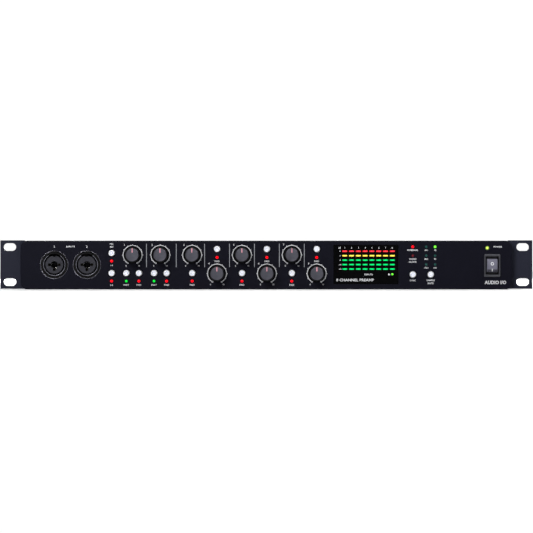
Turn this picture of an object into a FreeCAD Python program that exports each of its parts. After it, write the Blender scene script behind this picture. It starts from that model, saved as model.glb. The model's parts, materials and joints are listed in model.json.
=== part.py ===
"""Rack-mount eight-channel audio interface, one rack unit high.

Frame: +Z up, the front panel faces -Y, +X is to the right seen from the front.
The origin is at the bottom centre of the whole unit. All sizes are millimetres.
"""

import FreeCAD, Part
import math
import os
import Sketcher
from FreeCAD import Placement, Rotation, Vector
from types import SimpleNamespace

# alias, size in mm (or degrees), what it is
SIZES = [
    ("rack_width", 482.6, "width over the rack ears"),
    ("front_plane", 118.0, "fascia face, ahead of the origin"),
    ("back_plane", 122.0, "outer face of the rear panel, behind the origin"),
    ("fascia_width", 445.0, "fascia, end to end"),
    ("fascia_height", 44.1, "fascia, bottom to top"),
    ("fascia_depth", 10.0, "fascia, face to back rim"),
    ("fascia_skin", 3.0, "fascia face thickness"),
    ("fascia_rim", 2.3, "fascia rim wall"),
    ("fascia_corner", 6.0, "radius of the fascia corners"),
    ("fascia_edge", 1.2, "radius round the edge of the face"),
    ("fixing_x", 215.5, "fascia fixing post, from the middle"),
    ("fixing_low", 9.0, "lower fascia fixing, height"),
    ("fixing_high", 35.0, "upper fascia fixing, height"),
    ("post_radius", 3.2, "fascia fixing post"),
    ("post_depth", 5.5, "tapped hole in a fascia fixing post, depth"),
    ("socket_chamfer", 0.9, "chamfer round the front socket openings"),
    ("socket_play", 0.1, "gap round a socket nose"),
    ("shaft_play", 0.6, "gap round a potentiometer shaft"),
    ("button_play", 0.2, "gap round a push button"),
    ("lens_play", 0.08, "gap round a light pipe"),
    ("plate_play", 0.1, "gap round the display window and the switch body"),
    ("screw_play", 0.15, "clearance round a screw shank"),
    ("thread_play", 0.05, "gap between a screw and its thread"),
    ("case_width", 440.0, "chassis tray, side to side"),
    ("case_top", 43.4, "top face of the lid"),
    ("tray_top", 42.2, "top edge of the tray walls"),
    ("steel", 1.2, "tray and rear panel sheet"),
    ("lid_sheet", 1.0, "lid sheet"),
    ("lid_skirt", 10.0, "lid side skirt, height"),
    ("lid_gap", 0.05, "gap between lid skirt and tray wall"),
    ("flange", 6.5, "folded front flange of the tray walls"),
    ("outer_bend", 1.8, "outer radius of the tray bends"),
    ("inner_bend", 0.5, "inner radius of the tray bends"),
    ("lid_bend", 1.3, "outer radius of the lid bends"),
    ("wall_vents", 12, "vent slots in each tray wall, number"),
    ("wall_vent_pitch", 9.0, "vent slots in the tray walls, spacing"),
    ("wall_vent_width", 3.0, "vent slot in a tray wall, width"),
    ("wall_vent_height", 18.0, "vent slot in a tray wall, height"),
    ("wall_vent_middle", 16.0, "vent slots in the tray walls, height of the middle"),
    ("first_wall_vent", -10.0, "first vent slot in a tray wall, depth"),
    ("lid_vents", 13, "vent slots in each row of the lid, number"),
    ("lid_vent_x", 124.0, "first vent slot in the lid"),
    ("lid_vent_pitch", 6.6, "vent slots in the lid, spacing"),
    ("lid_vent_width", 2.6, "vent slot in the lid, width"),
    ("lid_vent_length", 34.0, "vent slot in the lid, length"),
    ("lid_vent_front", -38.0, "front row of lid vents, depth of the middle"),
    ("lid_vent_rows", 46.0, "rows of lid vents, spacing"),
    ("lid_screw_inset", 5.0, "lid screws, in from the back edge"),
    ("lid_screw_pitch", 98.0, "lid screws along the back edge, spacing"),
    ("panel_top_fold", 11.0, "top fold of the rear panel, front to back"),
    ("panel_low_fold", 8.0, "bottom fold of the rear panel, front to back"),
    ("panel_gap", 0.3, "gap between the rear panel and the tray"),
    ("lock_slot_x", 212.0, "security slot"),
    ("lock_slot_height", 30.0, "security slot, height of the middle"),
    ("lock_slot_length", 7.5, "security slot, end to end"),
    ("lock_slot_rise", 3.2, "security slot, bottom to top"),
    ("ear_low", 0.5, "bottom edge of the ears"),
    ("ear_height", 43.95, "ears, bottom to top"),
    ("ear_sheet", 2.0, "ear sheet"),
    ("ear_inner", 219.0, "inner edge of the ear plates, behind the fascia ends"),
    ("ear_depth", 60.0, "ear side flange, front to back"),
    ("slot_span", 465.1, "rack slots, centre to centre across"),
    ("slot_rise", 31.75, "rack slots, centre to centre upwards"),
    ("slot_length", 11.2, "rack slot, end to end"),
    ("slot_height", 6.9, "rack slot, bottom to top"),
    ("socket_height", 22.3, "axis of every combined input socket"),
    ("front_socket_x", 191.9, "first front socket, left of the middle"),
    ("front_socket_pitch", 29.5, "front sockets, spacing"),
    ("rear_socket_x", 60.0, "first rear socket, left of the middle"),
    ("rear_socket_pitch", 27.0, "rear sockets, spacing"),
    ("shell_radius", 12.1, "socket shell nose"),
    ("shell_bore", 9.5, "plug shell space in the socket"),
    ("shell_width", 26.0, "socket housing, width"),
    ("shell_height", 30.0, "socket housing, height"),
    ("shell_depth", 25.0, "socket housing, depth behind the face"),
    ("plug_depth", 14.0, "plug shell space, depth"),
    ("latch_width", 11.4, "latch recess, width"),
    ("latch_height", 4.0, "latch recess, height"),
    ("latch_rise", 9.3, "latch recess, over the socket axis"),
    ("latch_depth", 7.0, "latch recess, depth"),
    ("socket_screw_side", 10.5, "rear socket screws, beside the axis"),
    ("socket_screw_rise", 11.5, "rear socket screws, over and under the axis"),
    ("insert_radius", 8.1, "contact insert"),
    ("jack_radius", 3.25, "quarter-inch plug bore"),
    ("pin_orbit", 4.45, "plug pins, from the socket axis"),
    ("pin_hole", 1.35, "plug pin hole radius"),
    ("contact_radius", 1.0, "socket contact radius"),
    ("contact_bore", 0.55, "bore of a socket contact"),
    ("key_width", 2.6, "key notch in the insert, width"),
    ("key_height", 1.8, "key notch in the insert, height"),
    ("upper_row", 31.2, "upper knob axes, height"),
    ("lower_row", 14.3, "lower knob axes, height"),
    ("knob_one_x", 121.0, "first knob, left of the middle"),
    ("knob_two_x", 95.9, "second knob, left of the middle"),
    ("knob_three_x", 67.1, "third knob, left of the middle"),
    ("knob_pitch", 22.55, "third to eighth knobs, spacing"),
    ("knob_foot", 7.75, "knob radius at its foot"),
    ("knob_crown", 6.3, "knob radius at its face"),
    ("knob_height", 13.0, "knob face, ahead of the fascia"),
    ("knob_gap", 0.5, "gap under the knob"),
    ("shaft_radius", 3.0, "potentiometer shaft"),
    ("pointer_width", 1.1, "pointer groove, width"),
    ("pointer_length", 4.2, "pointer groove, length"),
    ("pot_width", 9.8, "potentiometer body, width"),
    ("pot_height", 10.6, "potentiometer body, height"),
    ("pot_depth", 7.0, "potentiometer body, depth"),
    ("button_radius", 2.95, "push button"),
    ("button_proud", 2.0, "push button, ahead of the fascia"),
    ("button_travel", 0.8, "push button travel"),
    ("button_low", 14.7, "lower push buttons, height"),
    ("button_high", 36.5, "upper push buttons, height"),
    ("button_side", 5.7, "pairs of buttons, either side of the knob axis"),
    ("button_collar", 0.9, "collar that keeps a button in, beyond its radius"),
    ("stem_radius", 1.6, "push button stem"),
    ("tact_width", 6.0, "tactile switch, width and height"),
    ("tact_depth", 4.0, "tactile switch, depth"),
    ("phantom_x", 140.0, "microphone power buttons, left of the middle"),
    ("phantom_high", 32.9, "upper microphone power button, height"),
    ("lens_radius", 1.2, "indicator light pipe"),
    ("lens_proud", 0.3, "light pipe, ahead of the fascia"),
    ("lens_reach", 6.0, "light pipe, behind the fascia face"),
    ("lens_low", 7.5, "lower indicators, height"),
    ("lens_high", 28.9, "upper indicators, height"),
    ("phantom_lens", 25.6, "upper microphone power indicator, height"),
    ("window_left", 60.9, "display window, left edge"),
    ("window_width", 58.7, "display window, width"),
    ("window_low", 4.8, "display window, bottom edge"),
    ("window_height", 35.4, "display window, height"),
    ("bar_left", 71.07, "first meter column"),
    ("bar_pitch", 6.15, "meter columns, spacing"),
    ("bar_low", 18.4, "lowest meter row"),
    ("bar_rise", 4.03, "meter rows, spacing"),
    ("bar_width", 4.6, "meter bar, width"),
    ("bar_height", 1.5, "meter bar, height"),
    ("lock_x", 114.1, "lock indicator"),
    ("lock_height", 13.7, "lock indicator, height"),
    ("lock_radius", 0.93, "lock indicator radius"),
    ("window_lip", 1.2, "lip behind the display window, thickness"),
    ("sync_x", 132.6, "clock button and indicators"),
    ("rate_x", 148.8, "sample rate button"),
    ("rate_side", 4.0, "sample rate indicators, either side"),
    ("clock_button", 13.5, "clock buttons, height"),
    ("clock_lens", 38.5, "top clock indicators, height"),
    ("clock_rise", 8.0, "clock indicators, spacing"),
    ("power_lens_x", 200.0, "power indicator"),
    ("power_lens_height", 37.5, "power indicator, height"),
    ("power_lens_radius", 1.6, "power indicator radius"),
    ("power_lens_proud", 0.8, "power indicator, ahead of the fascia"),
    ("power_lens_reach", 7.0, "power indicator, behind the fascia face"),
    ("switch_x", 204.5, "power switch"),
    ("switch_height", 21.6, "power switch, height of its middle"),
    ("switch_frame_width", 14.6, "switch frame, width"),
    ("switch_frame_height", 20.6, "switch frame, height"),
    ("switch_proud", 1.8, "switch frame, ahead of the fascia"),
    ("switch_body_width", 12.9, "switch body, width"),
    ("switch_body_height", 18.9, "switch body, height"),
    ("rocker_width", 10.6, "rocker, width"),
    ("rocker_half", 7.4, "rocker, half height"),
    ("rocker_tilt", 10.0, "rocker at rest, degrees from its middle"),
    ("rocker_pivot", 0.7, "rocker pivot, behind the fascia face"),
    ("rocker_pin", 0.8, "rocker pivot pin radius"),
    ("switch_bevel", 0.7, "bevel round the switch frame"),
    ("switch_depth", 14.0, "switch body, behind the fascia face"),
    ("switch_well", 9.0, "rocker well, behind the fascia face"),
    ("tab_width", 4.6, "switch terminal, width"),
    ("tab_sheet", 0.8, "switch terminal, thickness"),
    ("tab_length", 7.0, "switch terminal, length"),
    ("tab_rise", 5.0, "switch terminals, over and under the middle"),
    ("board_low", 5.5, "underside of the flat boards"),
    ("board_sheet", 1.6, "circuit board thickness"),
    ("control_depth", 15.0, "front of the control board, behind the face"),
    ("line_x", 88.0, "first line output"),
    ("line_pitch", 17.5, "line outputs, spacing"),
    ("line_height", 16.0, "line outputs, height of the axis"),
    ("bush_radius", 4.75, "line output bush"),
    ("bush_proud", 4.0, "line output bush, behind the rear panel"),
    ("jack_half", 7.0, "line output body, half width"),
    ("jack_length", 23.0, "line output body, front to back"),
    ("jack_bore", 20.0, "line output bore, behind the panel face"),
    ("nut_corner", 7.1, "line output nut, centre to corner"),
    ("nut_height", 2.2, "line output nut, height"),
    ("seat_gap", 0.02, "gap under a nut, a collar or the inlet plate"),
    ("clock_socket_x", 146.0, "word clock socket"),
    ("clock_socket_length", 9.0, "word clock socket, behind the rear panel"),
    ("clock_barrel", 4.8, "word clock barrel radius"),
    ("clock_bore", 4.05, "word clock barrel, inner radius"),
    ("clock_collar", 7.2, "word clock collar radius"),
    ("clock_body", 6.0, "word clock body radius, inside the case"),
    ("clock_body_length", 14.0, "word clock body, inside the case"),
    ("lug_radius", 1.0, "bayonet lug radius"),
    ("lug_reach", 5.9, "bayonet lugs, from the axis to their ends"),
    ("lug_depth", 5.6, "bayonet lugs, behind the rear panel"),
    ("optical_x", 127.0, "first optical output"),
    ("optical_pitch", 16.5, "optical outputs, spacing"),
    ("optical_height", 15.0, "optical outputs, height of the middle"),
    ("optical_width", 12.0, "optical nose, width"),
    ("optical_rise", 11.0, "optical nose, height"),
    ("optical_proud", 2.2, "optical nose, behind the rear panel"),
    ("optical_body_width", 14.5, "optical housing, width"),
    ("optical_body_rise", 13.5, "optical housing, height"),
    ("optical_body_length", 17.0, "optical housing, front to back"),
    ("port_width", 9.4, "optical port, width"),
    ("port_rise", 8.8, "optical port, height"),
    ("port_depth", 9.0, "optical port, depth"),
    ("flap_hinge_depth", 1.0, "flap hinge, behind the rear panel"),
    ("flap_hinge_rise", 3.75, "flap hinge, over the middle of the port"),
    ("flap_pin", 0.4, "flap hinge pin radius"),
    ("flap_width", 8.8, "flap, width"),
    ("flap_rise", 7.9, "flap, height"),
    ("flap_sheet", 0.8, "flap, thickness"),
    ("inlet_x", 183.0, "mains inlet"),
    ("inlet_height", 21.7, "mains inlet, height of the middle"),
    ("inlet_plate_width", 48.0, "inlet plate, width"),
    ("inlet_plate_rise", 22.5, "inlet plate, height"),
    ("inlet_plate_sheet", 3.0, "inlet plate, thickness"),
    ("inlet_body_width", 27.0, "inlet body, width"),
    ("inlet_body_rise", 20.0, "inlet body, height"),
    ("inlet_body_depth", 18.0, "inlet body, inside the case"),
    ("inlet_cavity_width", 24.2, "inlet cavity, width"),
    ("inlet_cavity_rise", 16.4, "inlet cavity, height"),
    ("inlet_cavity_depth", 15.0, "inlet cavity, in from the panel face"),
    ("inlet_screw_side", 20.0, "inlet screws, either side"),
    ("blade_sheet", 2.0, "inlet blade, thickness"),
    ("blade_rise", 4.4, "inlet blade, height"),
    ("blade_side", 7.0, "outer inlet blades, from the middle"),
    ("screw_radius", 1.5, "case screw thread"),
    ("screw_head", 2.75, "case screw head radius"),
    ("screw_head_height", 1.0, "case screw head height"),
    ("cross_half", 1.5, "arm of the driver recess, half length"),
    ("cross_width", 0.7, "arm of the driver recess, width"),
    ("cross_depth", 0.6, "driver recess, depth"),
    ("ear_screw_height", 17.0, "ear screws, height"),
    ("ear_screw_radius", 2.0, "ear screw thread"),
    ("ear_screw_head", 3.6, "ear screw head radius"),
    ("ear_screw_rise", 1.9, "ear screw head height"),
    ("ear_screw_length", 8.0, "ear screw, under its head"),
    ("case_screw_length", 5.0, "lid screw, under its head"),
    ("fascia_screw_length", 5.5, "fascia screw, under its head"),
    ("socket_screw_length", 7.0, "rear socket screw, under its head"),
    ("inlet_screw_length", 8.0, "inlet screw, under its head"),
    ("supply_pillar", 2.6, "board pillar radius"),
    ("front_pillar", 2.0, "control board pillar radius"),
    ("wire_radius", 1.1, "mains lead radius"),
    ("ribbon_half", 12.0, "ribbon cable, half width"),
    ("ribbon_bend", 3.0, "ribbon cable, bend radius"),
]

doc = FreeCAD.newDocument("audio_interface")
sheet = doc.addObject("Spreadsheet::Sheet", "dims")


class Size:
    """A length that carries its number and the spreadsheet expression that binds it."""

    def __init__(self, text, value):
        self.text = text
        self.value = value

    def __add__(self, other):
        other = size(other)
        return Size(f"({self.text} + {other.text})", self.value + other.value)

    def __sub__(self, other):
        other = size(other)
        return Size(f"({self.text} - {other.text})", self.value - other.value)

    def __rsub__(self, other):
        return size(other) - self

    def __mul__(self, other):
        other = size(other)
        return Size(f"({self.text} * {other.text})", self.value * other.value)

    def __truediv__(self, other):
        other = size(other)
        return Size(f"({self.text} / {other.text})", self.value / other.value)

    def __neg__(self):
        return Size(f"(-{self.text})", -self.value)

    __radd__ = __add__
    __rmul__ = __mul__


def size(value):
    """Any number as a Size."""
    if isinstance(value, Size):
        return value
    return Size(f"({float(value):.6g})", float(value))


for row, (alias, value, note) in enumerate(SIZES, start=1):
    sheet.set(f"A{row}", note)
    sheet.set(f"B{row}", str(value))
    sheet.setAlias(f"B{row}", alias)
doc.recompute()
d = SimpleNamespace(**{alias: Size(f"dims.{alias}", value) for alias, value, note in SIZES})

FRONT = -1  # a socket that faces -Y
REAR = 1  # a socket that faces +Y
ALONG_Y = Rotation(Vector(1, 0, 0), -90)  # turns an upright cylinder to run towards +Y
ALONG_X = Rotation(Vector(0, 1, 0), 90)  # turns an upright cylinder to run towards +X
TO_FRONT = Rotation(Vector(1, 0, 0), 90)  # local Z to -Y, for knobs and buttons

face_y = -d.front_plane
skin_y = face_y + d.fascia_skin
rim_y = face_y + d.fascia_depth
case_x = d.case_width / 2
nodes = []


# ---------------------------------------------------------------- helpers


def bind(thing, prop, length):
    thing.setExpression(prop, size(length).text)


def place(thing, x, y, z, turn=Rotation()):
    """Puts a document object at x, y, z, with each coordinate bound to the sheet."""
    thing.Placement = Placement(Vector(size(x).value, size(y).value, size(z).value), turn)
    for axis, length in zip("xyz", (x, y, z)):
        bind(thing, f".Placement.Base.{axis}", length)
    return thing


def ordered(a, b):
    a, b = size(a), size(b)
    return (a, b) if a.value <= b.value else (b, a)


def box(name, x, y, z):
    """A block between the pairs of coordinates x, y and z."""
    (x0, x1), (y0, y1), (z0, z1) = ordered(*x), ordered(*y), ordered(*z)
    block = doc.addObject("Part::Box", name)
    bind(block, "Length", x1 - x0)
    bind(block, "Width", y1 - y0)
    bind(block, "Height", z1 - z0)
    return place(block, x0, y0, z0)


def centred_box(name, x, width, y, z, height):
    """A block of that width about x and that height about z, between the pair of depths y."""
    width, height = size(width), size(height)
    return box(name, (x - width / 2, x + width / 2), y, (z - height / 2, z + height / 2))


def cylinder(name, radius, start, length, x, y, z, turn):
    rod = doc.addObject("Part::Cylinder", name)
    bind(rod, "Radius", radius)
    bind(rod, "Height", length)
    return place(rod, x, y, z, turn)


def rod_y(name, radius, y, x, z):
    """A cylinder along Y between the pair of depths y."""
    y0, y1 = ordered(*y)
    return cylinder(name, radius, y0, y1 - y0, x, y0, z, ALONG_Y)


def rod_x(name, radius, x, y, z):
    """A cylinder along X between the pair x."""
    x0, x1 = ordered(*x)
    return cylinder(name, radius, x0, x1 - x0, x0, y, z, ALONG_X)


def rod_z(name, radius, x, y, z):
    """An upright cylinder between the pair of heights z."""
    z0, z1 = ordered(*z)
    return cylinder(name, radius, z0, z1 - z0, x, y, z0, Rotation())


def fuse(name, shapes):
    joined = doc.addObject("Part::MultiFuse", name)
    joined.Shapes = shapes
    return joined


def cut(name, base, tools):
    """base less every tool."""
    result = doc.addObject("Part::Cut", name)
    result.Base = base
    result.Tool = tools[0] if len(tools) == 1 else fuse(name + "_tools", tools)
    return result


def group(name, pieces):
    """Separate solids of the same kind, kept together as one sub-part."""
    collected = doc.addObject("Part::Compound", name)
    collected.Links = pieces
    return node(collected, name)


def node(thing, label):
    """Marks a document object as a finished sub-part."""
    thing.Label = label
    nodes.append(thing)
    return thing


def new_body(name):
    return doc.addObject("PartDesign::Body", name)


def sketch(body, plane, offset=0):
    """A sketch on one of the body's origin planes, moved along that plane's normal."""
    origin_plane = [f for f in body.Origin.OriginFeatures if f.Role == plane + "_Plane"][0]
    drawing = body.newObject("Sketcher::SketchObject", body.Name + "_sketch")
    drawing.AttachmentSupport = [(origin_plane, "")]
    drawing.MapMode = "FlatFace"
    bind(drawing, ".AttachmentOffset.Base.z", offset)
    return drawing


def fix_point(drawing, geometry, point, x, y):
    """Ties one point of a sketch to its distances from the sketch origin."""
    for kind, axis, length in (("DistanceX", -2, size(x)), ("DistanceY", -1, size(y))):
        if abs(length.value) < 1e-9:
            drawing.addConstraint(Sketcher.Constraint("PointOnObject", geometry, point, axis))
        else:
            made = drawing.addConstraint(
                Sketcher.Constraint(kind, -1, 1, geometry, point, length.value)
            )
            bind(drawing, f"Constraints[{made}]", length)


def polygon(drawing, points):
    """A closed outline of straight lines."""
    points = [(size(x), size(y)) for x, y in points]
    lines = []
    for (x0, y0), (x1, y1) in zip(points, points[1:] + points[:1]):
        start, end = Vector(x0.value, y0.value, 0), Vector(x1.value, y1.value, 0)
        lines.append(drawing.addGeometry(Part.LineSegment(start, end)))
    for line, following in zip(lines, lines[1:] + lines[:1]):
        drawing.addConstraint(Sketcher.Constraint("Coincident", line, 2, following, 1))
    for line, (x, y) in zip(lines, points):
        fix_point(drawing, line, 1, x, y)


def rectangle(drawing, x, y):
    (x0, x1), (y0, y1) = ordered(*x), ordered(*y)
    polygon(drawing, [(x0, y0), (x1, y0), (x1, y1), (x0, y1)])


def centred_rectangle(drawing, x, width, y, height):
    width, height = size(width), size(height)
    rectangle(drawing, (x - width / 2, x + width / 2), (y - height / 2, y + height / 2))


def circle(drawing, x, y, radius):
    x, y, radius = size(x), size(y), size(radius)
    ring = Part.Circle(Vector(x.value, y.value, 0), Vector(0, 0, 1), radius.value)
    made = drawing.addGeometry(ring)
    fix_point(drawing, made, 3, x, y)
    bound = drawing.addConstraint(Sketcher.Constraint("Radius", made, radius.value))
    bind(drawing, f"Constraints[{bound}]", radius)


def slot(drawing, x, y, length, height):
    """A level slot with round ends, about x and y."""
    x, y, radius, reach = size(x), size(y), size(height) / 2, (size(length) - height) / 2
    cx, cy, r, half = x.value, y.value, radius.value, reach.value
    right = Part.Circle(Vector(cx + half, cy, 0), Vector(0, 0, 1), r)
    left = Part.Circle(Vector(cx - half, cy, 0), Vector(0, 0, 1), r)
    quarter = math.pi / 2
    a = drawing.addGeometry(Part.ArcOfCircle(right, -quarter, quarter))
    b = drawing.addGeometry(Part.LineSegment(Vector(cx + half, cy + r, 0), Vector(cx - half, cy + r, 0)))
    c = drawing.addGeometry(Part.ArcOfCircle(left, quarter, 3 * quarter))
    e = drawing.addGeometry(Part.LineSegment(Vector(cx - half, cy - r, 0), Vector(cx + half, cy - r, 0)))
    for first, second in ((a, b), (c, e)):
        drawing.addConstraint(Sketcher.Constraint("Tangent", first, 2, second, 1))
    for first, second in ((b, c), (e, a)):
        drawing.addConstraint(Sketcher.Constraint("Tangent", first, 2, second, 1))
    drawing.addConstraint(Sketcher.Constraint("Equal", a, c))
    fix_point(drawing, a, 3, x + reach, y)
    fix_point(drawing, c, 3, x - reach, y)
    bound = drawing.addConstraint(Sketcher.Constraint("Radius", a, r))
    bind(drawing, f"Constraints[{bound}]", radius)


def pad(body, drawing, length, backwards=False):
    feature = body.newObject("PartDesign::Pad", body.Name + "_pad")
    feature.Profile = drawing
    feature.Reversed = backwards
    bind(feature, "Length", length)
    drawing.Visibility = False
    return feature


def pocket(body, drawing, length, backwards=False):
    feature = body.newObject("PartDesign::Pocket", body.Name + "_pocket")
    feature.Profile = drawing
    feature.Reversed = backwards
    bind(feature, "Length", length)
    drawing.Visibility = False
    return feature


def dress(body, kind, radius, wanted):
    """Fillets or chamfers every edge whose box passes the wanted test."""
    doc.recompute()
    base = body.Tip
    picked = [
        f"Edge{n}" for n, edge in enumerate(base.Shape.Edges, start=1) if wanted(edge)
    ]
    if not picked:
        raise ValueError(f"{body.Name}: no edge to {kind}")
    feature = body.newObject(f"PartDesign::{kind}", f"{body.Name}_{kind.lower()}")
    feature.Base = (base, picked)
    bind(feature, "Radius" if kind == "Fillet" else "Size", radius)
    return feature


def revolve(body, drawing):
    feature = body.newObject("PartDesign::Revolution", body.Name + "_turned")
    feature.Profile = drawing
    feature.ReferenceAxis = (drawing, ["V_Axis"])
    feature.Angle = 360
    drawing.Visibility = False
    return feature


def near(a, b, slack=0.01):
    return abs(a - size(b).value) < slack


# ---------------------------------------------------------------- layout


def knob_places():
    """(x, z) of the eight gain knobs."""
    places = [(-d.knob_one_x, d.upper_row), (-d.knob_two_x, d.upper_row)]
    for n in range(6):
        height = d.lower_row if n % 2 else d.upper_row
        places.append((d.knob_pitch * n - d.knob_three_x, height))
    return places


def pad_places():
    """(x, button height, indicator height) of the pad buttons of the third to eighth channels."""
    found = []
    for n, (x, z) in enumerate(knob_places()[2:]):
        raised = n % 2 == 1
        found.append((x, d.button_high, d.lens_high) if raised else (x, d.button_low, d.lens_low))
    return found


def button_places():
    """Name to (x, z) of the push buttons."""
    places = {
        "phantom_button_upper": (-d.phantom_x, d.phantom_high),
        "phantom_button_lower": (-d.phantom_x, d.button_low),
    }
    for channel, (x, z) in enumerate(knob_places()[:2], start=1):
        places[f"instrument_button_{channel}"] = (x - d.button_side, d.button_low)
        places[f"pad_button_{channel}"] = (x + d.button_side, d.button_low)
    for channel, (x, z, lens) in enumerate(pad_places(), start=3):
        places[f"pad_button_{channel}"] = (x, z)
    places["clock_source_button"] = (d.sync_x, d.clock_button)
    places["sample_rate_button"] = (d.rate_x, d.clock_button)
    return places


def red_lens_places():
    """(x, z) of the microphone power, pad and clock source indicators."""
    places = [(-d.phantom_x, d.phantom_lens), (-d.phantom_x, d.lens_low)]
    places += [(x + d.button_side, d.lens_low) for x, z in knob_places()[:2]]
    places += [(x, lens) for x, z, lens in pad_places()]
    places += [(d.sync_x, d.clock_lens), (d.sync_x, d.clock_lens - d.clock_rise)]
    return places


def green_lens_places():
    """(x, z) of the instrument and sample rate indicators."""
    places = [(x - d.button_side, d.lens_low) for x, z in knob_places()[:2]]
    for side in (-1, 1):
        for step in range(3):
            places.append((d.rate_x + d.rate_side * side, d.clock_lens - d.clock_rise * step))
    return places


def front_sockets():
    return [(-d.front_socket_x + d.front_socket_pitch * n, FRONT) for n in range(2)]


def rear_sockets():
    return [(-d.rear_socket_x - d.rear_socket_pitch * n, REAR) for n in range(6)]


def socket_screw(x, step):
    """(x, z) of a rear socket's screw: under and left of its axis at -1, over and right at +1."""
    return x + d.socket_screw_side * step, d.socket_height + d.socket_screw_rise * step


def depth(side, inwards):
    """The depth y that lies that far inside the front or the rear face."""
    return face_y + inwards if side == FRONT else d.back_plane - size(inwards)


def line_outputs():
    return [d.line_x - d.line_pitch * n for n in range(8)]


def optical_outputs():
    return [d.optical_x - d.optical_pitch * n for n in range(2)]


# ---------------------------------------------------------------- fascia and case


def front_fascia():
    """Aluminium fascia: a shallow tray with its face to the front and every opening cut in it."""
    body = new_body("front_fascia")
    outline = sketch(body, "XZ", d.front_plane)
    rectangle(outline, (-d.fascia_width / 2, d.fascia_width / 2), (0, d.fascia_height))
    pad(body, outline, d.fascia_depth, backwards=True)

    def corner(edge):
        box_ = edge.BoundBox
        return box_.YLength > 7 and box_.XLength < 0.01 and box_.ZLength < 0.01

    dress(body, "Fillet", d.fascia_corner, corner)
    dress(body, "Fillet", d.fascia_edge, lambda e: near(e.BoundBox.YMax, face_y))

    hollow = sketch(body, "XZ", -rim_y)
    inner_x = d.fascia_width / 2 - d.fascia_rim
    rectangle(hollow, (-inner_x, inner_x), (d.fascia_rim, d.fascia_height - d.fascia_rim))
    pocket(body, hollow, d.fascia_depth - d.fascia_skin, backwards=True)

    posts = sketch(body, "XZ", -rim_y)
    for side in (-1, 1):
        for z in (d.fixing_low, d.fixing_high):
            circle(posts, d.fixing_x * side, z, d.post_radius)
    pad(body, posts, d.fascia_depth - d.fascia_skin)

    tapped = sketch(body, "XZ", -rim_y)
    for side in (-1, 1):
        for z in (d.fixing_low, d.fixing_high):
            circle(tapped, d.fixing_x * side, z, d.screw_radius + d.thread_play)
    pocket(body, tapped, d.post_depth, backwards=True)

    notches = sketch(body, "XZ", -rim_y)
    for side in (-1, 1):
        inner, outer = (d.ear_inner - d.plate_play) * side, (d.fascia_width / 2 + 1) * side
        rectangle(notches, (inner, outer), (size(-1), d.fascia_height + 1))
    pocket(body, notches, d.ear_sheet, backwards=True)

    openings = sketch(body, "XZ", d.front_plane)
    for x, side in front_sockets():
        circle(openings, x, d.socket_height, d.shell_radius + d.socket_play)
    for x, z in knob_places():
        circle(openings, x, z, d.shaft_radius + d.shaft_play)
    for x, z in button_places().values():
        circle(openings, x, z, d.button_radius + d.button_play)
    for x, z in red_lens_places() + green_lens_places():
        circle(openings, x, z, d.lens_radius + d.lens_play)
    circle(openings, d.power_lens_x, d.power_lens_height, d.power_lens_radius + d.lens_play)
    play = d.plate_play
    rectangle(
        openings,
        (d.window_left - play, d.window_left + d.window_width + play),
        (d.window_low - play, d.window_low + d.window_height + play),
    )
    centred_rectangle(
        openings,
        d.switch_x,
        d.switch_body_width + play * 2,
        d.switch_height,
        d.switch_body_height + play * 2,
    )
    pocket(body, openings, d.fascia_skin + 0.5)

    hole_width = (d.shell_radius + d.socket_play) * 2

    def socket_rim(edge):
        box_ = edge.BoundBox
        return near(box_.YMax, face_y) and near(box_.XLength, hole_width, 0.05)

    dress(body, "Chamfer", d.socket_chamfer, socket_rim)
    node(body, "front_fascia")


def bottom_tray():
    """Folded steel tray: floor, two walls, front flanges, vents and fixing holes."""
    body = new_body("bottom_tray")
    inner = case_x - d.steel
    profile = sketch(body, "XZ", -rim_y)
    polygon(
        profile,
        [
            (-case_x, 0),
            (case_x, 0),
            (case_x, d.tray_top),
            (inner, d.tray_top),
            (inner, d.steel),
            (-inner, d.steel),
            (-inner, d.tray_top),
            (-case_x, d.tray_top),
        ],
    )
    pad(body, profile, d.back_plane - rim_y, backwards=True)

    def outer_bend(edge):
        box_ = edge.BoundBox
        return box_.YLength > 100 and near(box_.ZMax, 0)

    dress(body, "Fillet", d.outer_bend, outer_bend)

    def inner_bend(edge):
        box_ = edge.BoundBox
        return box_.YLength > 100 and near(box_.ZMax, d.steel) and near(box_.XLength, 0)

    dress(body, "Fillet", d.inner_bend, inner_bend)

    flanges = sketch(body, "XZ", -rim_y)
    for side in (-1, 1):
        rectangle(flanges, (inner * side, (inner - d.flange) * side), (d.steel, d.tray_top))
    pad(body, flanges, d.steel, backwards=True)

    fixings = sketch(body, "XZ", -rim_y)
    for side in (-1, 1):
        for z in (d.fixing_low, d.fixing_high):
            circle(fixings, d.fixing_x * side, z, d.screw_radius + d.screw_play)
    pocket(body, fixings, d.steel + 0.2)

    wall_holes = sketch(body, "YZ", case_x + 1)
    for n in range(int(d.wall_vents.value)):
        along = d.first_wall_vent + d.wall_vent_pitch * n
        middle, width, height = d.wall_vent_middle, d.wall_vent_width, d.wall_vent_height
        centred_rectangle(wall_holes, along, width, middle, height)
    for y in ear_screw_depths():
        circle(wall_holes, y, d.ear_screw_height, d.ear_screw_radius + 0.1)
    for y in lid_screw_depths():
        circle(wall_holes, y, d.case_top - d.lid_skirt / 2, d.screw_radius + d.screw_play)
    pocket(body, wall_holes, d.case_width + 2)
    node(body, "bottom_tray")


def ear_screw_depths():
    """Depths of the three screws in each ear."""
    return [rim_y + 13, rim_y + 32, rim_y + 51]


def lid_screw_depths():
    """Depths of the three screws in each lid skirt."""
    return [rim_y + 20, size(6), d.back_plane - 14]


def lid_rear_screws():
    """Places along X of the screws through the back edge of the lid."""
    return [d.lid_screw_pitch * n for n in (-2, -1, 0, 1, 2)]


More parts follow.
